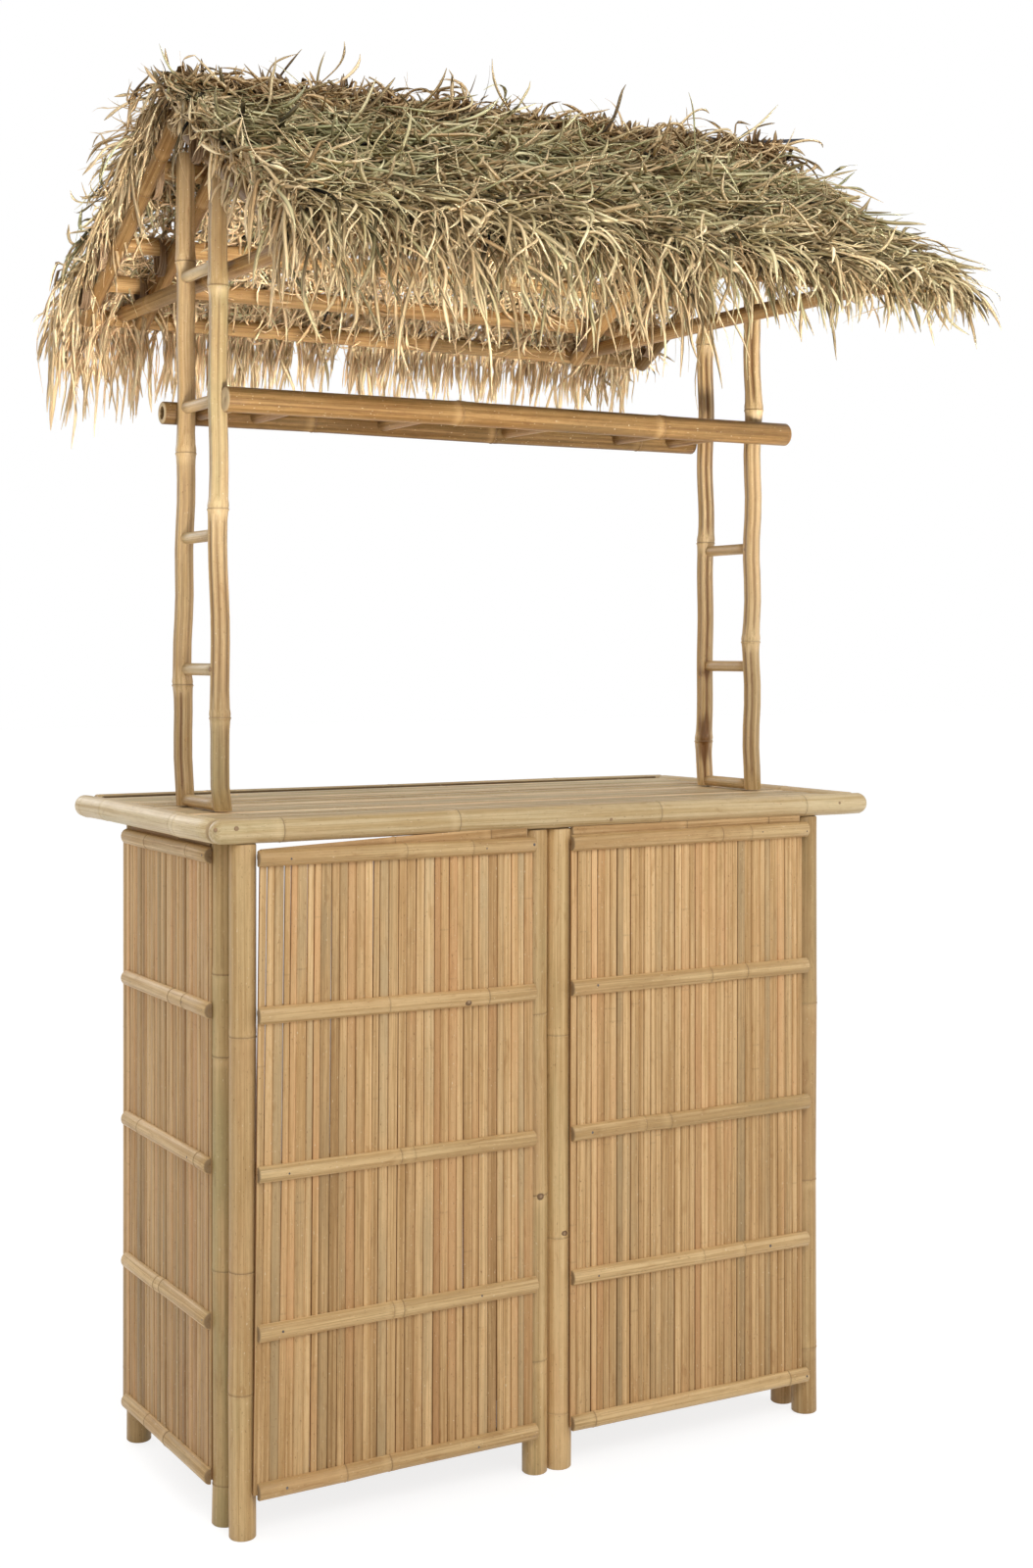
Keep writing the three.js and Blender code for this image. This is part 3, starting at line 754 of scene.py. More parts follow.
    def relief(self, distance: Array, angle: Array) -> Array:
        """Radius share at each ring and angle.

        A joint is a sharp ridge, a groove just past it and a wide low swell. The section is slightly
        oval, and five grooves with raised lips run up each internode and fade out at its joints.

        Args:
            distance: (n,) distances along the culm.
            angle: (m,) angles round it.

        Returns:
            (n, m) shares of the radius.
        """
        rng = np.random.default_rng(self.seed + 77)
        share = np.ones((len(distance), 1))
        for joint in self.joints:
            away = (distance - joint)[:, None] / MM
            ridge = peak(away, 0, 1.6) + 0.55 * peak(away, 7, 5) - 0.35 * peak(away, 2.6, 1.2)
            share = share + self.ring * ridge + self.swell * peak(away, 3, 15)
        oval = 0.012 * np.cos(2 * angle + rng.uniform(0, TURN)) + 0.006 * np.cos(3 * angle + rng.uniform(0, TURN))
        share = share + oval[None]
        if self.flute:
            edges, k = self.internodes(distance)
            inside = (distance - edges[k]) / np.maximum(edges[k + 1] - edges[k], 1e-6)
            fade = np.clip(np.minimum(inside, 1 - inside) * 14, 0, 1)[:, None]
            for offset, depth in self.GROOVES:
                centre = self.flute_at + offset + rng.uniform(-0.25, 0.25, len(edges))[k]
                depths = depth * rng.uniform(0.4, 1.1, len(edges))[k]
                away = np.angle(np.exp(1j * (angle[None] - centre[:, None])))
                groove = peak(away, 0, 0.24) - 0.3 * peak(np.abs(away), 0.46, 0.16)
                share = share - self.flute * depths[:, None] * fade * groove
        return share

    def section(self, share: Array, distance: Array) -> Array:
        """Places in the section's plane for each ring."""
        angle = np.arange(self.columns) * TURN / self.columns
        radius = self.radius * share[:, None] * self.relief(distance, angle)
        return np.stack([radius * np.cos(angle), radius * np.sin(angle)], axis=-1)

    def _spine(self, distance: Array, rng: np.random.Generator) -> Array:
        """The middle line, bent a little at each joint, wandering between them and kicked at its foot.

        Args:
            distance: (n,) distances along the culm.
            rng: what draws the bends.

        Returns:
            (n, 3) places.
        """
        along, across, up = self.frame()
        edges, _ = self.internodes(distance)
        off = rng.uniform(-self.bend, self.bend, (len(edges), 2))
        off[[0, -1]] = 0
        waves = self.sway * np.sin(distance[:, None] * rng.uniform(18, 42, 2) + rng.uniform(0, TURN, 2))
        kick = self.kick * np.clip(1 - distance / self.KICK_REACH, 0, 1)
        side = np.interp(distance, edges, off[:, 0]) + waves[:, 0] + kick
        lift = np.interp(distance, edges, off[:, 1]) + waves[:, 1]
        side, lift = side[:, None] * across, lift[:, None] * up
        return np.asarray(self.start) + distance[:, None] * along + side + lift

    def _shade(self, section: Array, share: Array, distance: Array, rng: np.random.Generator) -> Array:
        """Tint and hue by internode, with painted highlights on the raised lips, painted shade in the grooves and dark
        scorch marks.

        Args:
            section: (n, m, 2) places in the section's plane.
            share: (n,) radius shares without relief.
            distance: (n,) distances along the culm.
            rng: what draws the internodes' own tints.

        Returns:
            (n, m, 3) tint, hue, and the grooves' painted shade with the scorch marks.
        """
        edges, k = self.internodes(distance)
        tint = self.tint + rng.uniform(-self.spread, self.spread, len(edges))[k] - self.fade * distance / self.length()
        hue = self.hue + rng.uniform(-self.spread, self.spread, len(edges))[k]
        groove = np.zeros(section.shape[:2])
        if self.flute:
            depth = share[:, None] - np.linalg.norm(section, axis=-1) / self.radius
            groove = np.clip(depth, -0.3 * self.flute, self.flute) / self.flute
            groove = groove * min(1.0, self.flute / 0.1)
        # Painted highlight on the raised lips and joint ridges, and painted shade in the grooves
        tint = tint[:, None] - 0.5 * np.minimum(groove, 0)
        dark = self.groove_mark * np.maximum(groove, 0)
        facing = np.clip(np.cos(np.arctan2(section[..., 1], section[..., 0]) - self.flute_at), 0, 1) ** 2
        for at, reach, strength in self.scorches:
            dark = dark + strength * np.exp(-(((distance[:, None] - at) / reach) ** 4)) * facing
        return np.stack([tint, np.broadcast_to(hue[:, None], tint.shape), dark], axis=-1)

    def _joint_marks(self, distance: Array, rng: np.random.Generator) -> tuple[Array, Array]:
        """Each joint's dark line just past it and pale band just before it.

        Args:
            distance: (n,) distances along the culm.
            rng: what draws the joints' own strengths.

        Returns:
            (n,) strengths of the line and of the band.
        """
        line, band = np.zeros((2, len(distance)))
        for joint in self.joints:
            deep, pale = rng.uniform(0.45, 1.0), rng.uniform(0.2, 1.0)
            line = np.maximum(line, deep * peak(distance - joint, 0.0014, 0.001))
            band = np.maximum(band, pale * peak(distance - joint, -0.008, 0.006))
        return line, band

    def skin(self) -> Skin:
        """The culm's surface.

        Returns:
            The surface.
        """
        rng = np.random.default_rng(self.seed)
        _, across, up = self.frame()
        distance, share, cut = self.rows()
        spine = self._spine(distance, rng)
        section = self.section(share, distance)
        shade = self._shade(section, share, distance, rng)
        mark = np.column_stack([*self._joint_marks(distance, rng), cut])
        return sweep(spine, across, up, section, distance, shade, mark).with_own_grain(rng)


@dataclass
class SplitCulm(Culm):
    """Half a culm: a flat back at the line from start to end, bulging towards out.

    Attributes:
        out: the direction of the bulge.
        depth: how far it bulges; radius is half its height.
        columns: points round it.
    """

    out: Array = field(default_factory=lambda: -Y_AXIS)
    depth: float = 0.011
    columns: int = 22

    ARCH_SHARE: ClassVar[float] = 0.75

    def frame(self) -> tuple[Array, Array, Array]:
        """Its direction, the direction across its back, and out."""
        along = unit(np.asarray(self.end, float) - np.asarray(self.start, float))
        return along, np.cross(self.out, along), np.asarray(self.out, float)

    def section(self, share: Array, distance: Array) -> Array:
        """A half ellipse over three quarters of the points and a flat back over the rest.

        Args:
            share: (n,) radius share of each ring.
            distance: (n,) the rings' distances.

        Returns:
            (n, columns, 2) places in the plane of each ring.
        """
        arch = int(self.columns * self.ARCH_SHARE)
        turn = np.linspace(0, np.pi, arch)
        back = np.linspace(-1, 1, self.columns - arch + 2)[1:-1]
        flat = np.stack([np.concatenate([np.cos(turn), back]), np.concatenate([np.sin(turn), 0 * back])], axis=-1)
        angle = np.concatenate([turn, np.full(len(back), 1.5 * np.pi)])
        relief = share[:, None] * self.relief(distance, angle)
        return flat[None] * relief[..., None] * np.array([self.radius, self.depth])


@dataclass
class Strip:
    """A flat split of bamboo, with a crowned outer face and rounded edges.

    Attributes:
        start: the middle of its back at one end.
        end: the middle of its back at the other end.
        out: the direction that its crowned face looks in.
        width: its width at the start and at the end.
        thickness: its thickness.
        crown: how far the outer face bulges, as a share of the thickness.
        seed: what makes its own waves and tints.
        tint: lightness from 0 to 1.
        hue: place on the finish's hue scale.
        joints: distances of the joints from start.
        rows: rings along it.
        wave: how far it wavers from side to side.
        fade: how much darker its start is than its end.
        joint_mark: strength of its joints' dark lines.
        edge_shade: strength of the painted shade along its edges.
    """

    start: Array
    end: Array
    out: Array
    width: tuple[float, float]
    thickness: float
    crown: float = 0.25
    seed: int = 0
    tint: float = 0.5
    hue: float = 0.5
    joints: Sequence[float] = ()
    rows: int = 16
    wave: float = 0.0004
    fade: float = 0.0
    joint_mark: float = 0.25
    edge_shade: float = 1.0

    JOINT_ROWS: ClassVar[Array] = MM * np.array([-6, -2.2, -0.9, 0, 0.9, 2.2, 6])
    # Across the outer face: places as shares of half the width, how far the face falls there, and the painted shade
    # along its edges
    FACE: ClassVar[Array] = np.array([1.0, 0.95, 0.84, 0.5, 0.0, -0.5, -0.84, -0.95, -1.0])
    FALL: ClassVar[Array] = np.array([0.52, 0.2, 0.05, 0.0, 0.0, 0.0, 0.05, 0.2, 0.52])
    EDGE: ClassVar[Array] = np.array([1.0, 1.0, 0.45, 0.0, 0.0, 0.0, 0.0, 0.0, 0.45, 1.0, 1.0])
    BACK: ClassVar[float] = 0.97

    def skin(self) -> Skin:
        """The strip's surface: a crowned section carried along a line that wavers slightly.

        Returns:
            The surface.
        """
        rng = np.random.default_rng(self.seed)
        start, end, out = (np.asarray(v, float) for v in (self.start, self.end, self.out))
        length = np.linalg.norm(end - start)
        along = unit(end - start)
        across = np.cross(out, along)
        inner = [np.linspace(0.003, length - 0.003, self.rows)] + [joint + self.JOINT_ROWS for joint in self.joints]
        inner = np.concatenate(inner)
        inner = np.unique(np.round(inner[(inner > 0.002) & (inner < length - 0.002)], 5))
        distance = np.concatenate([[0, 0.0008], inner, [length - 0.0008, length]])
        squeeze = np.ones(len(distance))
        squeeze[[0, -1]] = 0.9
        cut = np.zeros(len(distance))
        cut[[0, -1]] = 1
        share = distance / length
        half = 0.5 * np.interp(share, [0, 1], self.width)
        half = half * (1 + 0.012 * np.sin(share * rng.uniform(6, 14) + rng.uniform(0, TURN)))
        # The section, from the back's right corner round the outer face to the back's left corner
        x = np.concatenate([[self.BACK], self.FACE, [-self.BACK]])
        y = np.concatenate([[0.0], 1 - self.FALL - self.crown * self.FACE**2, [0.0]])
        line = np.zeros(len(distance))
        for joint in self.joints:
            line = np.maximum(line, peak(distance, joint, 0.0011))
        size = np.stack([half * squeeze, self.thickness * squeeze * (1 + 0.08 * line)], axis=-1)
        section = np.stack([x, y], axis=-1)[None] * size[:, None]
        waver = self.wave * np.sin(share * rng.uniform(4, 9) + rng.uniform(0, TURN)) * rng.uniform(-1, 1)
        spine = start + distance[:, None] * along + waver[:, None] * across
        tint = self.tint - self.fade * (1 - share) + 0.03 * np.sin(share * rng.uniform(5, 12) + rng.uniform(0, TURN))
        # Painted shade along the edges, where neighbouring slats and strips shade each other
        edge = self.edge_shade * self.EDGE * (1 - cut[:, None])
        shade = np.stack(np.broadcast_arrays(tint[:, None], self.hue, edge), axis=-1)
        mark = np.column_stack([line * self.joint_mark, 0 * line, cut * 0.8])
        return sweep(spine, across, out, section, distance, shade, mark).with_own_grain(rng)


def button(centre: Array, out: Array, radius: float, rise: float, seed: int, tint: float = 0.5) -> Skin:
    """A low dome on a surface, such as a nail's head or a peg.

    Ring i lies at angle i of a quarter turn: radius times its cosine, rise times its sine.

    Args:
        centre: the middle of its base.
        out: the direction that it looks in.
        radius: its radius.
        rise: its height.
        seed: what places its pattern.
        tint: lightness from 0 to 1.

    Returns:
        The surface.
    """
    out = unit(np.asarray(out, float))
    across = square_to(out)
    turn = np.radians([0, 35, 60, 80])
    height = np.concatenate([[-rise], rise * np.sin(turn)])
    width = np.concatenate([[1], np.cos(turn)]) * radius
    angle = np.arange(10) * TURN / 10
    section = np.stack([width[:, None] * np.cos(angle), width[:, None] * np.sin(angle)], axis=-1)
    shade = np.tile([tint, 0.5, 0.5], (len(height), 1))
    spine = np.asarray(centre) + height[:, None] * out
    skin = sweep(spine, across, np.cross(out, across), section, height, shade, 0 * shade)
    return skin.with_own_grain(np.random.default_rng(seed))


def knot(centre: Array, out: Array, radius: float, seed: int) -> list[Skin]:
    """A branch's scar: a dark low dome with a paler core.

    Args:
        centre: the middle of its base.
        out: the direction that it looks in.
        radius: its radius.
        seed: what places its pattern.

    Returns:
        Its two surfaces.
    """
    return [
        button(centre, out, radius, radius * 0.25, seed, 0.35),
        button(centre + out * radius * 0.12, out, radius * 0.5, radius * 0.22, seed + 1, 1.0),
    ]


def loop(path: Array, width: float, thickness: float, seed: int, normal: Array) -> Skin:
    """A flat strip bound round something, from the first point of a path to its last.

    Args:
        path: (n, 3) points.
        width: the strip's width.
        thickness: its thickness.
        seed: what tints it.
        normal: (n, 3) directions that its outer face looks in.

    Returns:
        The surface.
    """
    rng = np.random.default_rng(seed)
    along = unit(np.gradient(path, axis=0))
    normal = unit(normal - along * np.sum(normal * along, axis=1, keepdims=True))
    across = np.cross(normal, along)
    run = np.concatenate([[0], np.cumsum(np.linalg.norm(np.diff(path, axis=0), axis=1))])
    angle = np.arange(8) * TURN / 8
    flat = np.stack([np.cos(angle) * width / 2, np.sin(angle) * thickness / 2], axis=-1)
    section = np.broadcast_to(flat, (len(path), 8, 2))
    shade = np.column_stack(np.broadcast_arrays(rng.uniform(0.3, 0.7), 0.5, run / run[-1]))
    return sweep(path, across, normal, section, run, shade, 0 * shade).with_own_grain(rng)


def node_box(name: str) -> tuple[Array, Array]:
    """A CAD node's lowest and highest corners."""
    low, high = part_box(name)
    return np.array(low), np.array(high)


def culm_in(name: str, axis: int, radius: float, aside: Sequence[float] = (0.0, 0.0, 0.0), **fields: object) -> Culm:
    """A culm along a main axis in the place of a CAD node.

    Args:
        name: the node, whose box gives the ends and the middle line.
        axis: 0, 1 or 2 for a culm along X, Y or Z.
        radius: the culm's radius.
        aside: how far the culm lies from that place.
        fields: the culm's other fields.

    Returns:
        The culm.
    """
    low, high = node_box(name)
    start, end = (low + high) / 2, (low + high) / 2
    start[axis], end[axis] = low[axis], high[axis]
    return Culm(start + aside, end + aside, radius, **fields)


def dress_culm(name: str, axis: int, radius: float, finish: Finish, **fields: object) -> None:
    """Makes a culm as culm_in does and lets it stand for its CAD node."""
    piece(name + "_culm", [culm_in(name, axis, radius, **fields).skin()], finish, [name])


# ---------------------------------------------------------------- base panels


@dataclass
class Panel:
    """One slatted panel: slats with rails behind them and split battens over them.

    Attributes:
        name: the panel's name in the CAD nodes.
        across: direction from its left pole to its right pole, seen from outside.
        out: its outward direction.
        slat_count: how many slats it has.
        own_battens: whether the battens are CAD nodes of their own.
        seed: what makes its own tints and gaps.
        wedges: the top gap of each slat whose gap narrows downwards, by the slat's number.
        slat_thickness: the thickest slat's thickness.
        batten_height: the battens' usual height.
        batten_depth: how far they usually bulge.
        batten_count: how many battens and rails there are.
        rail_height: the rails' height.
        rail_depth: how far they bulge inwards.
        pole_radius: the poles' usual radius.
        first_slat: distances from the left pole's middle to the first slat, at the foot and the top.
        ends: distances from the right pole's middle to the last slat's edge and to the battens' ends.
        batten_gap: distance from the left pole's side to the battens.
        top_rail: height of the top rail's two ends over the top batten's.
        shade: painted shade added to its slats' lightness, for a panel that the light reaches less.
    """

    name: str
    across: Array
    out: Array
    slat_count: int
    own_battens: bool
    seed: int
    wedges: dict[int, float] = field(default_factory=dict)
    slat_thickness: float = 0.005
    batten_height: float = 0.025
    batten_depth: float = 0.0115
    batten_count: int = 5
    rail_height: float = 0.026
    rail_depth: float = 0.02
    pole_radius: float = 0.0195
    first_slat: tuple[float, float] = (0.0125, 0.0185)
    ends: tuple[float, float] = (-0.0185, -0.0095)
    batten_gap: float = -0.0045
    top_rail: tuple[float, float] = (0.0085, 0.0085)
    shade: float = 0.0

    # How far the slats' backs stand off the poles' faces, how far the slats reach past the end battens,
    # how much of their thickness lies under the battens, and how far the rails lean at most levels
    STAND_OFF: ClassVar[float] = 0.0016
    SLAT_REACH: ClassVar[float] = 0.006
    SLAT_BED: ClassVar[float] = 0.9
    RAIL_LIFT: ClassVar[tuple[float, float]] = (0.0015, 0.0015)
    # How strongly painted shade darkens a slat's edges, one drawn a slat
    EDGE_SHADES: ClassVar[Sequence[float]] = (0.2, 0.55, 0.9, 1.7)

    def _span(self) -> tuple[Array, float]:
        """The left pole's foot, and the distance from there to the right pole's."""
        boxes = [node_box(f"{self.name}_{side}_pole") for side in ("left", "right")]
        left, right = (np.array([*((low + high) / 2)[:2], 0.0]) for low, high in boxes)
        return left, float(np.linalg.norm(right - left))

    def _levels(self) -> Array:
        """The battens' heights, which the rails share.

        Returns:
            One height a batten, from the lowest.
        """
        if self.own_battens:
            boxes = [node_box(f"{self.name}_batten_{i + 1}") for i in range(self.batten_count)]
            return np.array([(low[2] + high[2]) / 2 for low, high in boxes])
        low, high = node_box(f"{self.name}_slats")
        return np.linspace(low[2] + self.rail_height / 2, high[2] - self.rail_height / 2, self.batten_count)

    def slats(self) -> list[Skin]:
        """The row of slats, each with its own width, lean, tint and gap.

        Returns:
            One surface a slat.
        """
        rng = np.random.default_rng(self.seed)
        left, span = self._span()
        levels = self._levels()
        widths = rng.uniform(0.72, 1.28, self.slat_count)
        share = np.concatenate([[0], np.cumsum(widths)]) / widths.sum()
        edges = [first + (span + self.ends[0] - first) * share for first in self.first_slat]
        edges[1][1:-1] += rng.normal(0, 0.0008, self.slat_count - 1)
        heights = (levels[0] - self.SLAT_REACH, levels[-1] + self.SLAT_REACH)
        back = left + self.out * (self.pole_radius + self.STAND_OFF)
        hues = np.clip(0.5 + rng.choice([-1, 1], self.slat_count) * rng.beta(1.0, 2.0, self.slat_count) * 0.42, 0, 1)
        skins = []
        for i in range(self.slat_count):
            gaps = rng.uniform(-0.0004, 0.0003, 2)
            if i in self.wedges:
                gaps = (-0.001, self.wedges[i])
            width = [edge[i + 1] - edge[i] - gap for edge, gap in zip(edges, gaps)]
            base = back + self.out * (0.0005 * (i % 2) + rng.uniform(0, 0.0005))
            start, end = (
                base + self.across * (edge[i] + gap + wide / 2) + Z_AXIS * height
                for edge, gap, wide, height in zip(edges, gaps, width, heights)
            )
            skins.append(
                Strip(
                    start, end, self.out, tuple(width), self.slat_thickness * rng.uniform(0.8, 1.0),
                    crown=rng.uniform(0.1, 0.4),
                    seed=self.seed * 100 + i,
                    tint=float(np.clip(rng.normal(0.67 + self.shade, 0.165), 0.05, 1.15)),
                    hue=float(hues[i]),
                    joints=np.sort(rng.uniform(0.05, 0.85, rng.integers(1, 4))),
                    rows=18,
                    fade=0.40,
                    joint_mark=rng.uniform(0.0, 0.3),
                    edge_shade=rng.choice(self.EDGE_SHADES),
                ).skin()
            )
        return skins

    def rails(self) -> list[Skin]:
        """Split culms behind the slats, between the poles; the top one leans as the panel says.

        Returns:
            One surface a rail.
        """
        left, span = self._span()
        start = left + self.across * (self.pole_radius + 0.001) + self.out * (self.pole_radius + 0.0012)
        end = start + self.across * (span - 2 * self.pole_radius - 0.002)
        leans = [self.RAIL_LIFT] * (self.batten_count - 1) + [self.top_rail]
        return [
            SplitCulm(
                start + Z_AXIS * (z + lean[0]), end + Z_AXIS * (z + lean[1]), self.rail_height / 2,
                joints=(0.09 + 0.031 * i, 0.33 + 0.012 * i), seed=self.seed * 100 + 50 + i,
                out=-self.out, depth=self.rail_depth, hue=0.45, tint=0.35,
            ).skin()
            for i, (z, lean) in enumerate(zip(self._levels(), leans))
        ]

    def battens(self) -> list[Skin]:
        """Split culms over the slats, from the left pole to the right pole's middle.

        Returns:
            One surface a batten.
        """
        rng = np.random.default_rng(self.seed + 500)
        left, span = self._span()
        start = left + self.across * (self.pole_radius + self.batten_gap)
        start = start + self.out * (self.pole_radius + self.STAND_OFF + self.slat_thickness * self.SLAT_BED)
        length = span + self.ends[1] - self.pole_radius - self.batten_gap
        skins = []
        for i, z in enumerate(self._levels()):
            tilt = rng.uniform(-0.0015, 0.0015)
            joints = np.sort(rng.uniform(0.05, 0.95, 2)) * length
            skins.append(
                SplitCulm(
                    start + Z_AXIS * (z - tilt),
                    start + self.across * (length + rng.uniform(-0.002, 0.002)) + Z_AXIS * (z + tilt),
                    self.batten_height / 2 * rng.uniform(0.95, 1.04),
                    joints=joints,
                    seed=self.seed * 100 + 70 + i,
                    out=self.out,
                    depth=self.batten_depth * rng.uniform(0.95, 1.02),
                    bend=0.0008,
                    tint=rng.uniform(0.60, 0.78),
                    hue=rng.uniform(0.36, 0.56),
                    spread=0.08,
                    columns=26,
                ).skin()
            )
        return skins

    def nails(self) -> list[Skin]:
        """Nails through each batten, near its ends and to the right of its middle.

        Returns:
            One surface a nail.
        """
        rng = np.random.default_rng(self.seed + 900)
        left, span = self._span()
        face = self.pole_radius + self.STAND_OFF + self.slat_thickness * self.SLAT_BED + self.batten_depth
        skins = []
        for i, z in enumerate(self._levels()):
            places = (0.052 + rng.uniform(-0.006, 0.012), span * rng.uniform(0.74, 0.84), span + self.ends[1] - 0.008)
            for at in places:
                lift = rng.uniform(-0.003, 0.003)
                rise = face - (0.0004 + 12 * lift * lift / self.batten_height)
                centre = left + self.across * at + self.out * rise + Z_AXIS * (z + lift)
                radius = rng.uniform(0.0018, 0.0026)
                skins.append(button(centre, self.out, radius, 0.0009, self.seed + i, rng.uniform(0.2, 0.8)))
        return skins


@dataclass(frozen=True)
class Pole:
    """What sets one pole of the base apart.

    Attributes:
        joints: heights of its joints.
        tint: lightness from 0 to 1.
        hue: place on the finish's hue scale.
        radius: its radius.
        aside: how far it stands from its CAD node's place.
    """

    joints: Sequence[float]
    tint: float
    hue: float
    radius: float = 0.0198
    aside: tuple[float, float, float] = (0.0, 0.0, 0.0)


class Base:
    """The base: eight poles and four slatted panels."""

    POLES: ClassVar[dict[str, Pole]] = {
        "front_left_left_pole": Pole((0.208, 0.383, 0.721), 0.55, 0.38),
        "front_left_right_pole": Pole((0.175, 0.432, 0.713), 0.58, 0.50, 0.0200, (0.0042, 0.0, 0.0)),
        "front_right_left_pole": Pole((0.086, 0.36, 0.676), 0.82, 0.50, 0.0208, (0.0046, 0.0, 0.0)),
        "front_right_right_pole": Pole((0.109, 0.39, 0.686), 0.32, 0.40, 0.0211, (0.0043, 0.0, 0.0)),
        "left_side_left_pole": Pole((0.16, 0.47, 0.80), 0.3, 0.6),
        "left_side_right_pole": Pole((0.059, 0.372, 0.684, 0.804), 0.5, 0.78, 0.0213, (-0.0015, 0.004, 0.0)),
        "right_side_left_pole": Pole((0.12, 0.45, 0.77), 0.45, 0.5),
        "right_side_right_pole": Pole((0.2, 0.52, 0.85), 0.45, 0.5),
    }
    WEDGES: ClassVar[dict[int, float]] = {1: 0.0016, 3: 0.0014, 4: 0.001, 6: 0.0009, 14: 0.0012, 19: 0.0008}
    PANELS: ClassVar[Sequence[Panel]] = (
        Panel(
            "front_left", X_AXIS, -Y_AXIS, 34, True, 11, WEDGES,
            first_slat=(0.0060, 0.0164), ends=(-0.0125, -0.0095), batten_gap=-0.0075, top_rail=(0.0, 0.017),
        ),
        Panel(
            "front_right", X_AXIS, -Y_AXIS, 35, True, 12, {1: 0.0012},
            first_slat=(0.0122, 0.0142), batten_gap=-0.0062, top_rail=(0.011, 0.013),
        ),
        Panel(
            "left_side", -Y_AXIS, -X_AXIS, 27, False, 13,
            # Painted shade: the left side's slats are darkened because less light falls on that side
            shade=-0.17, slat_thickness=0.0042, first_slat=(-0.010, -0.009), ends=(-0.005, -0.0035),
        ),
        Panel("right_side", Y_AXIS, X_AXIS, 27, False, 14, ends=(0.0055, 0.006)),
    )

    def build(self) -> None:
        """Makes and dresses the base."""
        for k, (name, pole) in enumerate(self.POLES.items()):
            dress_culm(
                name, 2, pole.radius, POLE, aside=pole.aside, joints=pole.joints, seed=200 + k, tint=pole.tint,
                hue=pole.hue, bend=0.0016, ring=0.03, flute=0.03, flute_at=-1.9, groove_mark=0.9,
            )
        for panel in self.PANELS:
            piece(panel.name + "_slat_row", panel.slats() + panel.rails(), SLAT, [panel.name + "_slats"])
            nodes = [f"{panel.name}_batten_{i + 1}" for i in range(panel.batten_count)] if panel.own_battens else []
            piece(panel.name + "_battens", panel.battens(), BATTEN, nodes)
            piece(panel.name + "_nails", panel.nails(), NAIL)
        piece("branch_knots", self.knots(), RATTAN)

    @staticmethod
    def knots() -> list[Skin]:
        """The branch scars on the middle poles, the left side's front pole and a batten.

        Returns:
            Two surfaces a scar.
        """
        front = node_box("front_left_right_pole")[0][1]
        side = node_box("left_side_right_pole")[0][0]
        batten = node_box("front_left_batten_4")[0][1]
        scars = (
            ((-0.089, front + 0.001, 0.432), -Y_AXIS, 0.0062, 31),
            ((-0.0465, front + 0.0005, 0.369), -Y_AXIS, 0.006, 33),
            ((side + 0.001, -0.197, 0.372), -X_AXIS, 0.0058, 35),
            ((-0.225, batten + 0.0004, 0.7475), -Y_AXIS, 0.0062, 37),
        )
        return [skin for place, *rest in scars for skin in knot(np.array(place), *rest)]


# ---------------------------------------------------------------- counter


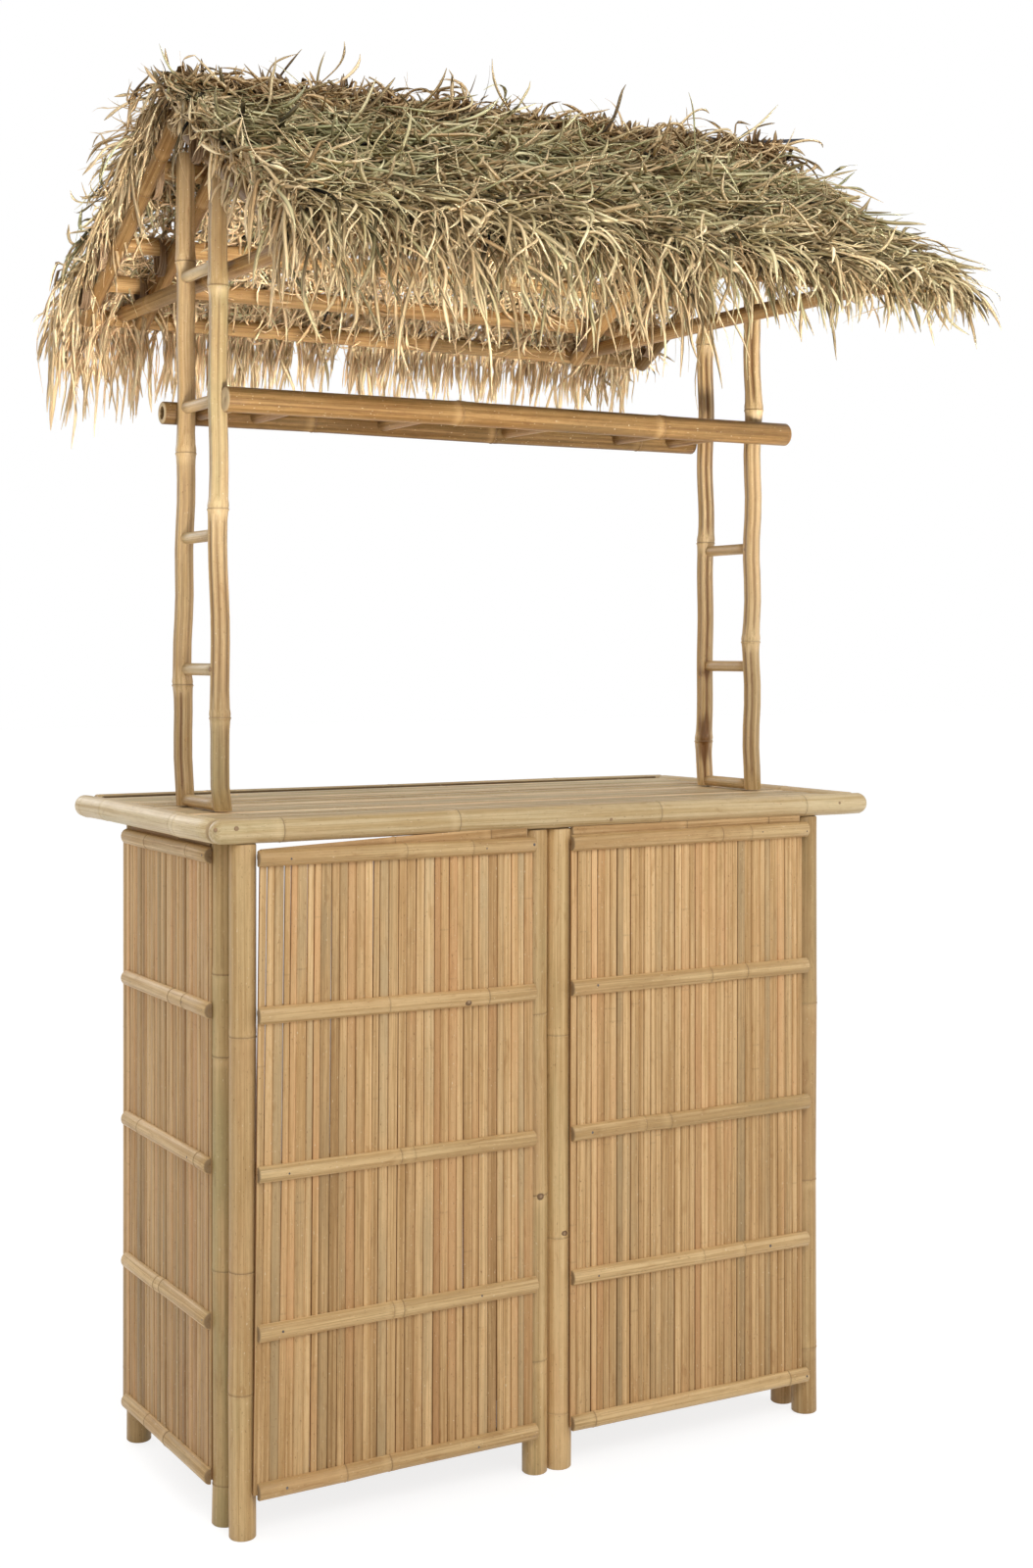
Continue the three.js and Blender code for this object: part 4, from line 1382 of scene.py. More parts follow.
@dataclass
class Counter:
    """The counter: four rim culms, flattened strips and three bearers.

    Attributes:
        rim_radius: the rim culms' radius.
        bearer_radius: the bearers' radius.
        strip_count: how many strips there are.
        strip_thickness: their thickness.
        strip_seed: what makes their own sizes.
    """

    rim_radius: float = 0.0178
    bearer_radius: float = 0.0125
    strip_count: int = 15
    strip_thickness: float = 0.006
    strip_seed: int = 17

    def build(self) -> None:
        """Makes and dresses the counter."""
        rims = {
            "counter_front_rim": (0, (0.108, 0.397, 0.762, 1.053), End.DOME, End.DOME, 0.55, 0.5),
            "counter_left_rim": (1, (0.13, 0.150, 0.46, 0.56), End.CUT, End.DOME, 0.68, 0.56),
            "counter_rear_rim": (0, (0.2, 0.55, 0.9), End.CUT, End.DOME, 0.5, 0.5),
            "counter_right_rim": (1, (0.18, 0.43), End.CUT, End.CUT, 0.5, 0.5),
        }
        for k, (name, (axis, joints, head, tail, tint, hue)) in enumerate(rims.items()):
            dress_culm(
                name, axis, self.rim_radius, RIM, joints=joints, seed=300 + k, tint=tint, hue=hue, head=head,
                tail=tail, bend=0.001, ring=0.028, columns=40,
            )
        piece("counter_strips", self.strips() + [self.shadow_bead()], STRIP, ["counter_top"])
        for k, side in enumerate(("left", "middle", "right")):
            name = "counter_bearer_" + side
            dress_culm(name, 1, self.bearer_radius, FRAME, joints=(0.15, 0.4), seed=320 + k, columns=20)
        low, high = node_box("counter_front_rim")
        y = (low[1] + high[1]) / 2 - self.rim_radius * 0.965
        pegs = ((-0.630, 1.0235, 0.0032), (-0.598, 1.024, 0.0038), (0.49, 1.021, 0.003), (0.035, 1.012, 0.0025))
        skins = [button(np.array([x, y, z]), -Y_AXIS, radius, 0.0007, 41, 1.0) for x, z, radius in pegs]
        piece("rim_pegs", skins, RATTAN)

    @staticmethod
    def shadow_bead() -> Skin:
        """A thin dark split that paints the shadow line along the joint between the strips and the rear rim.

        Returns:
            The surface.
        """
        low, high = node_box("counter_top")
        inset = 0.004
        start = np.array([low[0] + inset, high[1] - inset, high[2] - 0.002])
        end = np.array([high[0] - inset, start[1], start[2]])
        # Painted shadow: the bead's very low tint stands for the dark line along the rear rim
        return Strip(start, end, Z_AXIS, (0.006, 0.006), 0.0045, crown=0.3, seed=1790, tint=-0.55, rows=30).skin()

    def strips(self) -> list[Skin]:
        """Flattened strips along X that fill the top's box, each with its own width, level and tint.

        Returns:
            One surface a strip.
        """
        rng = np.random.default_rng(self.strip_seed)
        low, high = node_box("counter_top")
        widths = rng.uniform(0.75, 1.25, self.strip_count)
        edges = low[1] + (high[1] - low[1]) * np.concatenate([[0], np.cumsum(widths)]) / widths.sum()
        skins = []
        for i in range(self.strip_count):
            gap = rng.uniform(0.0003, 0.0011, 2)
            width = edges[i + 1] - edges[i]
            middle = (edges[i + 1] + edges[i]) / 2
            level = high[2] - self.strip_thickness - rng.uniform(0.0, 0.0022)
            joints = np.sort(rng.uniform(0.05, 1.05, rng.integers(2, 5)))
            ends = rng.uniform(0, 0.003, 2)
            skins.append(
                Strip(
                    np.array([low[0] + ends[0], middle, level]),
                    np.array([high[0] - ends[1], middle + rng.uniform(-0.0004, 0.0004), level]),
                    Z_AXIS,
                    (width - gap[0], width - gap[1]),
                    self.strip_thickness,
                    crown=rng.uniform(0.08, 0.25),
                    seed=self.strip_seed * 100 + i,
                    tint=float(np.clip(rng.normal(0.72, 0.24), 0.0, 1.15)),
                    hue=float(np.clip(rng.normal(0.55, 0.16), 0, 1)),
                    joints=joints,
                    rows=24,
                ).skin()
            )
        return skins


@dataclass
class Storage:
    """The low shelf: flattened strips on two bearers.

    Attributes:
        bearer_radius: the bearers' radius.
        bearer_places: the bearers' places along Y.
        strip_count: how many strips there are.
        strip_thickness: their thickness.
        overlap: how far the strips reach over the side panels' poles.
    """

    bearer_radius: float = 0.0128
    bearer_places: tuple[float, float] = (-0.16, 0.09)
    strip_count: int = 10
    strip_thickness: float = 0.0055
    overlap: float = 0.004

    def build(self) -> None:
        """Makes and dresses the shelf."""
        low, high = node_box("storage_shelf")
        rng = np.random.default_rng(5)
        near = node_box("left_side_left_pole")[1][0] + self.overlap
        far = node_box("right_side_left_pole")[0][0] - self.overlap
        edges = np.linspace(low[1], high[1], self.strip_count + 1)
        skins = []
        for i, (front, rear) in enumerate(zip(edges[:-1], edges[1:])):
            middle = (front + rear) / 2
            level = high[2] - self.strip_thickness - rng.uniform(0, 0.0006)
            skins.append(
                Strip(
                    np.array([near, middle, level]), np.array([far, middle, level]), Z_AXIS,
                    (rear - front - 0.001, rear - front - 0.0012), self.strip_thickness,
                    crown=0.15, seed=700 + i, tint=rng.uniform(0.35, 0.6), hue=rng.uniform(0.45, 0.65),
                    joints=np.sort(rng.uniform(0.05, 0.95, 3)), rows=20,
                ).skin()
            )
        z = low[2] + self.bearer_radius
        for k, y in enumerate(self.bearer_places):
            start, end = np.array([low[0], y, z]), np.array([high[0], y, z])
            skins.append(Culm(start, end, self.bearer_radius, (0.25, 0.6, 0.9), 720 + k, columns=20).skin())
        piece("storage_shelf_strips", skins, STRIP, ["storage_shelf"])


# ---------------------------------------------------------------- ladders and rack


@dataclass(frozen=True)
class Post:
    """What sets one ladder post apart.

    Attributes:
        joints: distances of its joints from its foot.
        tint: lightness from 0 to 1.
        hue: place on the finish's hue scale.
        bend: how far a joint may lie off the straight line.
        kick: how far its foot is bent aside.
        aside: how far along X it stands from its CAD node's place.
        step: distance between its rings away from the joints.
        scorches: its dark marks, each a distance from the foot, a half length and a strength.
    """

    joints: Sequence[float]
    tint: float
    hue: float
    bend: float = 0.0020
    kick: float = 0.0
    aside: float = 0.0
    step: float = 0.035
    scorches: Sequence[tuple[float, float, float]] = ()


@dataclass
class Ladders:
    """Two ladders on the counter and the rack between them.

    Attributes:
        post_radius: the posts' radius.
        rung_radius: the ladders' rungs' radius.
        rung_count: how many rungs a ladder has.
        rung_pitch: distance from rung to rung.
        rack_radius: the rack poles' radius in the CAD, which the drawn ones are a share over.
        rack_rung_radius: the rack's rungs' radius.
    """

    post_radius: float = 0.0144
    rung_radius: float = 0.0094
    rung_count: int = 5
    rung_pitch: float = 0.2065
    rack_radius: float = 0.0158
    rack_rung_radius: float = 0.0124

    POSTS: ClassVar[dict[str, Post]] = {
        "left_ladder_front_post": Post((0.142, 0.46, 0.80), 0.46, 0.52, 0.0036, kick=0.0075, aside=-0.0042),
        "left_ladder_rear_post": Post((0.19, 0.557, 0.86), 0.70, 0.34, 0.0036, aside=-0.0036),
        "right_ladder_front_post": Post((0.26, 0.668, 0.93), 0.56, 0.48),
        "right_ladder_rear_post": Post(
            (0.08, 0.44, 0.80), 0.80, 0.40, step=0.010, scorches=((0.086, 0.040, 1.15), (0.206, 0.010, 0.8))
        ),
    }
    RACK_RUNGS: ClassVar[Sequence[float]] = (-0.508, -0.412, -0.182, 0.055, 0.282, 0.396)

    def build(self) -> None:
        """Makes and dresses the ladders and the rack."""
        for k, (name, post) in enumerate(self.POSTS.items()):
            rear = "rear" in name
            low, high = node_box(name)
            x = (low[0] + high[0]) / 2 + post.aside
            y = high[1] - self.post_radius * 1.02 if rear else (low[1] + high[1]) / 2
            culm = Culm(
                np.array([x, y, low[2]]), np.array([x, y, high[2]]), self.post_radius, post.joints, 400 + k,
                tint=post.tint, hue=post.hue, spread=0.07, flute=0.19, flute_at=-2.1, bend=post.bend,
                scorches=post.scorches, step=post.step, sway=0.0011, kick=post.kick, ring=0.08, swell=0.11,
                groove_mark=1.0, fade=0.45, columns=60,
            )
            piece(name + "_culm", [culm.skin()], POST, [] if rear else [name])
            if rear:
                self._rungs(name, x, low[1], y, low[2], 450 + 10 * k)
            else:
                self._scars(name, culm.start, 470 + k)
        self._rack()

    def _scars(self, name: str, foot: Array, seed: int) -> None:
        """The rungs' ends where they show through a front post.

        Args:
            name: the post's node.
            foot: the post's lowest point.
            seed: what places their pattern.
        """
        heights = foot[2] + self.rung_radius + np.arange(1, self.rung_count) * self.rung_pitch
        places = [np.array([foot[0] - self.post_radius * 0.93, foot[1] + 0.002, z + 0.001]) for z in heights]
        scars = [button(place, -X_AXIS, 0.0042, 0.0014, seed, 0.9) for place in places]
        piece(name.replace("_post", "_rung_scars"), scars, RATTAN)

    def _rungs(self, name: str, x: float, front: float, rear: float, foot: float, seed: int) -> None:
        """The rungs between a ladder's posts.

        Args:
            name: the rear post's node, which carries the rungs.
            x: the ladder's middle.
            front: where the rungs meet the front post.
            rear: the rear post's axis.
            foot: the posts' lowest height.
            seed: what makes their own tints.
        """
        pitch = self.rung_pitch + 0.0014 * (x > 0)
        skins = []
        for i in range(self.rung_count):
            z = foot + self.rung_radius + 0.0002 + i * pitch
            start = np.array([x, front - self.post_radius * 0.55, z])
            end = np.array([x, rear - self.post_radius * 0.5, z])
            rung = Culm(start, end, self.rung_radius, (), seed + i, tint=0.62, columns=24, bend=0.0, step=0.02)
            skins.append(rung.skin())
        piece(name.replace("rear_post", "rungs"), skins, POST, [name])

    def _rack(self) -> None:
        """The rack's two poles and the rungs between them."""
        front = culm_in(
            "rack_front_pole", 0, self.rack_radius * 1.24, joints=(0.40, 0.789), seed=480, tint=-0.2, swell=0.03,
            columns=40,
        )
        piece("rack_front_culm", [front.skin()], FRAME, ["rack_front_pole"])
        low, high = node_box("rack_rear_pole")
        y = high[1] - self.rack_radius * 1.02
        z = (low[2] + high[2]) / 2
        # The rear pole's low tint is partly its own darker brown and partly painted shade deep under the roof
        rear = Culm(
            np.array([low[0], y, z - 0.002]), np.array([high[0], y, z - 0.002]), self.rack_radius * 1.14,
            (0.26, 0.60, 0.9), 481, tint=-0.45, hue=0.55, head=End.OPEN, columns=40,
        )
        skins = [rear.skin()]
        for k, x in enumerate(self.RACK_RUNGS):
            start = np.array([x, front.start[1] + self.rack_radius * 0.6, z])
            end = np.array([x, y - self.rack_radius * 0.5, z])
            rung = Culm(start, end, self.rack_rung_radius, (0.034,), 490 + k, tint=-0.2, hue=0.4, ring=0.12, columns=24)
            skins.append(rung.skin())
        piece("rack_rear_culm_and_rungs", skins, FRAME, ["rack_rear_pole"])


# ---------------------------------------------------------------- roof frame


@dataclass
class RoofFrame:
    """Purlins, rafters, tie beams and the rattan that binds them.

    Attributes:
        purlin_radius: the purlins' radius.
        rafter_radius: the rafters' radius.
        tie_radius: the tie beams' radius.
        per_slope: how many purlins and how many rafters a slope has.
        pitch: the slopes' angle.
        turn_pitch: how far a lashing moves along the purlin in a turn.
        rattan: the rattan's width and thickness.
    """

    purlin_radius: float = 0.0148
    rafter_radius: float = 0.0128
    tie_radius: float = 0.0138
    per_slope: int = 4
    pitch: float = math.radians(30)
    turn_pitch: float = 0.0042
    rattan: tuple[float, float] = (0.005, 0.002)

    def build(self) -> None:
        """Makes and dresses the roof's frame."""
        rng = np.random.default_rng(61)
        for k, side in enumerate(("front", "rear")):
            for i in range(self.per_slope):
                joints = np.sort(rng.uniform(0.08, 1.08, 3))
                dress_culm(
                    f"{side}_purlin_{i + 1}", 0, self.purlin_radius, FRAME, joints=joints, seed=500 + 10 * k + i,
                    tint=rng.uniform(0.0, 0.45), hue=rng.uniform(0.35, 0.65), ring=0.06, columns=28,
                )
            for i in range(self.per_slope):
                name = f"{side}_rafter_{i + 1}"
                culm = Culm(
                    *self._rafter_line(name), self.rafter_radius, np.sort(rng.uniform(0.05, 0.45, 2)),
                    540 + 10 * k + i, tint=rng.uniform(-0.25, 0.2) - 0.6 * (i == 0), hue=rng.uniform(0.35, 0.65),
                    ring=0.06, columns=28,
                )
                piece(name + "_culm", [culm.skin()], FRAME, [name])
        for k, side in enumerate(("left", "right")):
            dress_culm(
                side + "_tie_beam", 1, self.tie_radius, FRAME, joints=(0.2, 0.5, 0.76), seed=580 + k, tint=0.1,
                ring=0.06, columns=28,
            )
        piece("rattan_lashings", self.lashings(), RATTAN)

    def _rafter_line(self, name: str) -> tuple[Array, Array]:
        """A rafter's ridge end and eave end, from its node's box: the box is the slanted bar's corners.

        Args:
            name: the rafter's node.

        Returns:
            The two ends.
        """
        low, high = node_box(name)
        x = (low[0] + high[0]) / 2
        radius = (high[0] - low[0]) / 2
        dy, dz = radius * math.sin(self.pitch), radius * math.cos(self.pitch)
        ridge, eave = low[1] + dy, high[1] - dy
        if "front" in name:
            ridge, eave = eave, ridge
        return np.array([x, ridge, high[2] - dz]), np.array([x, eave, low[2] + dz])

    def lashings(self) -> list[Skin]:
        """Turns of rattan round each crossing of a rafter with a purlin.

        Returns:
            One surface a binding.
        """
        rng = np.random.default_rng(71)
        skins = []
        numbers = range(1, self.per_slope + 1)
        for side, i, j in product(("front", "rear"), numbers, numbers):
            low, high = node_box(f"{side}_purlin_{i}")
            purlin = (low + high) / 2
            start, end = self._rafter_line(f"{side}_rafter_{j}")
            share = (purlin[1] - start[1]) / (end[1] - start[1])
            if not 0 <= share <= 1:
                continue
            rafter = start + share * (end - start)
            centre = np.array([rafter[0], purlin[1], (purlin[2] + rafter[2]) / 2])
            down = unit(np.array([0.0, 0.0, rafter[2] - purlin[2]]))
            skins.append(self._binding(centre, down, rng, int(rng.integers(1e6))))
        return skins

    def _binding(self, centre: Array, down: Array, rng: np.random.Generator, seed: int) -> Skin:
        """One lashing: turns round a purlin and the rafter under it.

        Each turn is an oval in the plane square to the purlin, drawn out along the purlin as it winds.

        Args:
            centre: the middle of the crossing.
            down: direction from the purlin to the rafter.
            rng: what makes it its own.
            seed: what tints it.

        Returns:
            The surface.
        """
        turns = rng.integers(3, 5)
        theta = np.linspace(0, TURN * turns, 26 * turns)
        tall = self.purlin_radius + self.rafter_radius + 0.0035
        wide = self.purlin_radius + 0.004
        side = rng.choice([-1, 1])
        shift = self.rafter_radius + 0.004 + rng.uniform(0, 0.003)
        reach = np.interp(theta, [0, theta[-1]], [-0.5, 0.5]) * self.turn_pitch * turns
        squash = (1 + 0.06 * np.sin(theta * 1.7 + rng.uniform(0, TURN)))[:, None]
        radial = np.cos(theta)[:, None] * down * (tall * squash)
        radial = radial + np.sin(theta)[:, None] * np.cross(down, X_AXIS) * (wide * squash)
        path = centre + radial + X_AXIS * (side * shift + reach)[:, None]
        return loop(path, *self.rattan, seed, radial)


# ---------------------------------------------------------------- thatch


@dataclass
class Stalks:
    """Many stalks of grass, worked out together as arrays with one row a stalk.

    Attributes:
        root: (n, 3) places of the roots.
        lie: (n, 3) or (3,) direction that a stalk with no turn follows.
        side: (n, 3) or (3,) direction that a turn of a quarter circle would follow.
        turn: (n,) angle from lie towards side at the root.
        bend: (n,) change of that angle over the length.
        wave: (n,) size of its swing from side to side.
        beat: (n,) how many swings the stalk makes.
        phase: (n,) share of a swing that it starts at.
        lift: angle off the plane of lie and side at the root, one number or one a stalk.
        arch: change of the lift over the length, one number or one a stalk.
        length: (n,) lengths.
        width: (n,) widest widths.
        tint: (n,) lightness.
        hue: (n,) place on the grass's hue scale, cut off at 0 and 1.
        droop: how strongly the stalk falls once nothing carries it, one number or one a stalk.
        carried: share of the length that something carries, one number or one a stalk.
        rings: rings along a stalk.
        thickness: thickness of the blade at its fold.
        root_shade: how much painted shade darkens the root against the tip.
        limits: (3, 2) middle and half size of the box past which stalks are drawn in.
        slack: (3,) how far past that box the longest stalk may reach.
    """

    root: Array
    lie: Array
    side: Array
    turn: Array
    bend: Array
    wave: Array
    beat: Array
    phase: Array
    lift: Union[Array, float]
    arch: Union[Array, float]
    length: Array
    width: Array
    tint: Array
    hue: Array
    droop: Union[Array, float] = 0.0
    carried: Union[Array, float] = 1.0
    rings: int = 9
    thickness: float = 0.0012
    root_shade: float = 0.0
    limits: Array = field(default_factory=lambda: np.array([[-0.004, 0.59], [0.0, 0.53], [1.2, 1.03]]))
    slack: Array = field(default_factory=lambda: np.array([0.055, 0.07, 0.04]))

    def _column(self, values: Union[Array, float]) -> Array:
        """One number, or one a stalk, as a column with a row a stalk."""
        return np.broadcast_to(values, len(self.length))[:, None]

    def _path(self, rng: np.random.Generator) -> tuple[Array, Array]:
        """Places and directions along every stalk.

        At share t the turn is turn + bend t + wave sin(swing), the lift is lift + arch t + half the
        wave times the cosine of a swing of its own, and the direction falls by droop times how far t
        is past the carried share. The path is the running sum of the directions, then drawn in
        smoothly past the limits.

        Args:
            rng: what gives each stalk its own swing.

        Returns:
            (n, m, 3) places and (n, m, 3) directions.
        """
        n, m = len(self.length), self.rings
        t = np.linspace(0, 1, m)[None]
        swing = TURN * (self.beat[:, None] * t + self.phase[:, None])
        wave = self.wave[:, None] * (0.35 + 0.65 * t)
        turn = self.turn[:, None] + self.bend[:, None] * t + wave * np.sin(swing)
        sway = wave * 0.5 * np.cos(swing * rng.uniform(0.6, 1.6, (n, 1)))
        lift = self._column(self.lift) + self._column(self.arch) * t + sway
        lie, side = (np.broadcast_to(way, (n, 3))[:, None] for way in (self.lie, self.side))
        flat = np.cos(turn)[..., None] * lie + np.sin(turn)[..., None] * side
        away = unit(np.cross(lie, side))
        away = away * np.where(away[..., 2:] < 0, -1.0, 1.0)
        past = np.clip(t - self._column(self.carried), 0, 1) * self._column(self.droop)
        direction = unit(np.cos(lift)[..., None] * flat + np.sin(lift)[..., None] * away - past[..., None] * Z_AXIS)
        step = self.length[:, None, None] / (m - 1)
        moves = (direction[:, :-1] + direction[:, 1:]) / 2 * step
        path = self.root[:, None] + np.concatenate([np.zeros((n, 1, 3)), np.cumsum(moves, axis=1)], axis=1)
        middle, half = self.limits[:, 0], self.limits[:, 1]
        over = np.maximum(np.abs(path - middle) - half, 0)
        drawn = half + self.slack * (1 - np.exp(-over / self.slack))
        path = np.where(over > 0, middle + np.sign(path - middle) * drawn, path)
        return path, unit(np.gradient(path, axis=1))

    def skin(self, rng: np.random.Generator) -> Skin:
        """Sweeps every stalk: a flat folded triangle that widens from the root and narrows to the tip.

        Args:
            rng: what makes the swing and the twist.

        Returns:
            One surface with every stalk.
        """
        n, m = len(self.length), self.rings
        path, direction = self._path(rng)
        share = np.linspace(0, 1, m)[None]
        twist = rng.normal(0, 0.6, (n, 1, 3)) + rng.normal(0, 0.5, (n, 1, 3)) * share[..., None]
        flat = unit(np.cross(direction, unit(twist + Z_AXIS)))
        up = np.cross(flat, direction)
        breadth = self.width[:, None] * np.clip(0.6 + 1.6 * share, 0, 1) * np.clip((1.04 - share) * 4.6, 0.18, 1)
        thick = np.broadcast_to(self.thickness * np.clip((1.05 - share) * 2, 0.25, 1), (n, m))
        corner = np.array([[-0.5, -0.4], [0.5, -0.4], [0.0, 0.6]])
        points = (
            path[:, :, None]
            + corner[:, :1] * (flat * breadth[..., None])[:, :, None]
            + corner[:, 1:] * (up * thick[..., None])[:, :, None]
        )
        spread = (n, m, 3)
        run = np.broadcast_to((share * self.length[:, None])[..., None], spread)
        grain = np.stack([corner[:, 0] * breadth[..., None], np.zeros(spread), run], axis=-1)
        grain = grain + rng.uniform(0, PATTERN_SPREAD, (n, 1, 1, 3))
        tint, hue = (np.broadcast_to(v[:, None, None], spread) for v in (self.tint, np.clip(self.hue, 0, 1)))
        # Painted shade towards the root, which lies under other stalks
        tint = tint - self.root_shade * (1 - share[..., None]) ** 1.5
        shade = np.stack([tint, hue, np.broadcast_to(share[..., None], spread)], axis=-1)
        base = (np.arange(n) * m * 3)[:, None, None]
        i, j = np.meshgrid(np.arange(m - 1), np.arange(3), indexing="ij")
        k = (j + 1) % 3
        # Flat x up points against the stalk, so the faces run the other way round than in sweep()
        quads = np.stack([i * 3 + j, (i + 1) * 3 + j, (i + 1) * 3 + k, i * 3 + k], axis=-1).reshape(1, -1, 4) + base
        last = (m - 1) * 3
        tris = np.array([[0, 1, 2], [last, last + 2, last + 1]])[None] + base
        return Skin(
            points.reshape(-1, 3),
            quads.reshape(-1, 4),
            tris.reshape(-1, 3),
            grain.reshape(-1, 3),
            shade.reshape(-1, 3),
            np.zeros((n * m * 3, 3)),
        )


class Tufts:
    """Draws one value for each stalk, of which a part is shared by the stalk's whole tuft."""

    def __init__(self, seed: int, count: int, size: int) -> None:
        """Deals the stalks to tufts.

        Args:
            seed: what makes the draws.
            count: how many stalks.
            size: how many stalks a tuft has on average.
        """
        self.rng = np.random.default_rng(seed)
        self.count = count
        self.tufts = max(1, count // size)
        self.owner = self.rng.integers(0, self.tufts, count)

    def even(self, low: float, high: float) -> Array:
        """An even draw for each stalk by itself."""
        return self.rng.uniform(low, high, self.count)

    def spot(self, low: float, high: float, spread: float) -> Array:
        """An even draw for each tuft, about which its stalks lie scattered."""
        return self.rng.uniform(low, high, self.tufts)[self.owner] + self.rng.normal(0, spread, self.count)

    def bell(self, mean: float, spread: float, common: float = 0.7) -> Array:
        """A bell-shaped draw, of which the common part belongs to the tuft."""
        own = math.sqrt(1 - common**2) * self.rng.normal(0, 1, self.count)
        return mean + spread * (common * self.rng.normal(0, 1, self.tufts)[self.owner] + own)

    def swing(self, scale: float, fewest: float, most: float) -> dict[str, Array]:
        """The size, number and start of each stalk's swings."""
        return {"wave": self.skewed(scale), "beat": self.even(fewest, most), "phase": self.even(0, 1)}

    def skewed(self, scale: float) -> Array:
        """A draw above zero with a long tail, three times scale on average."""
        return scale * self.rng.gamma(3.0, 1.0, self.tufts)[self.owner] * self.rng.uniform(0.7, 1.3, self.count)


@dataclass(frozen=True)
class SlopePlan:
    """What sets one slope's grass apart.

    Attributes:
        name: the slope's name in the CAD nodes.
        side: -1 for the front, 1 for the rear.
        seed: what makes its stalks.
        lying: how many stalks lie on it, in the main layer and on top.
        sage: share of the tufts that are sage green, in those two layers.
        mat: how many stalks its mat has.
        underside: how many short ends hang through the mat.
        fringe: how many stalks hang from the eave.
        drops: their usual length at the roof's left end, a sixth in, in the middle and at the right end.
        verges: how many stalks hang from the left and the right edge.
    """

    name: str
    side: float
    seed: int
    lying: tuple[int, int]
    sage: tuple[float, float]
    mat: int
    underside: int
    fringe: int
    drops: Sequence[float]
    verges: tuple[int, int]


@dataclass(frozen=True)
class Habit:
    """How a verge's stalks hang.

    Attributes:
        inset: how far in from the slope's edge they may root.
        turn: usual turn and its spread.
        bend: usual bend and its spread.
        lift: usual lift and its spread.
        arch: usual arch and its spread.
        wave: scale of the swing.
    """

    inset: float
    turn: tuple[float, float]
    bend: tuple[float, float]
    lift: tuple[float, float]
    arch: tuple[float, float]
    wave: float


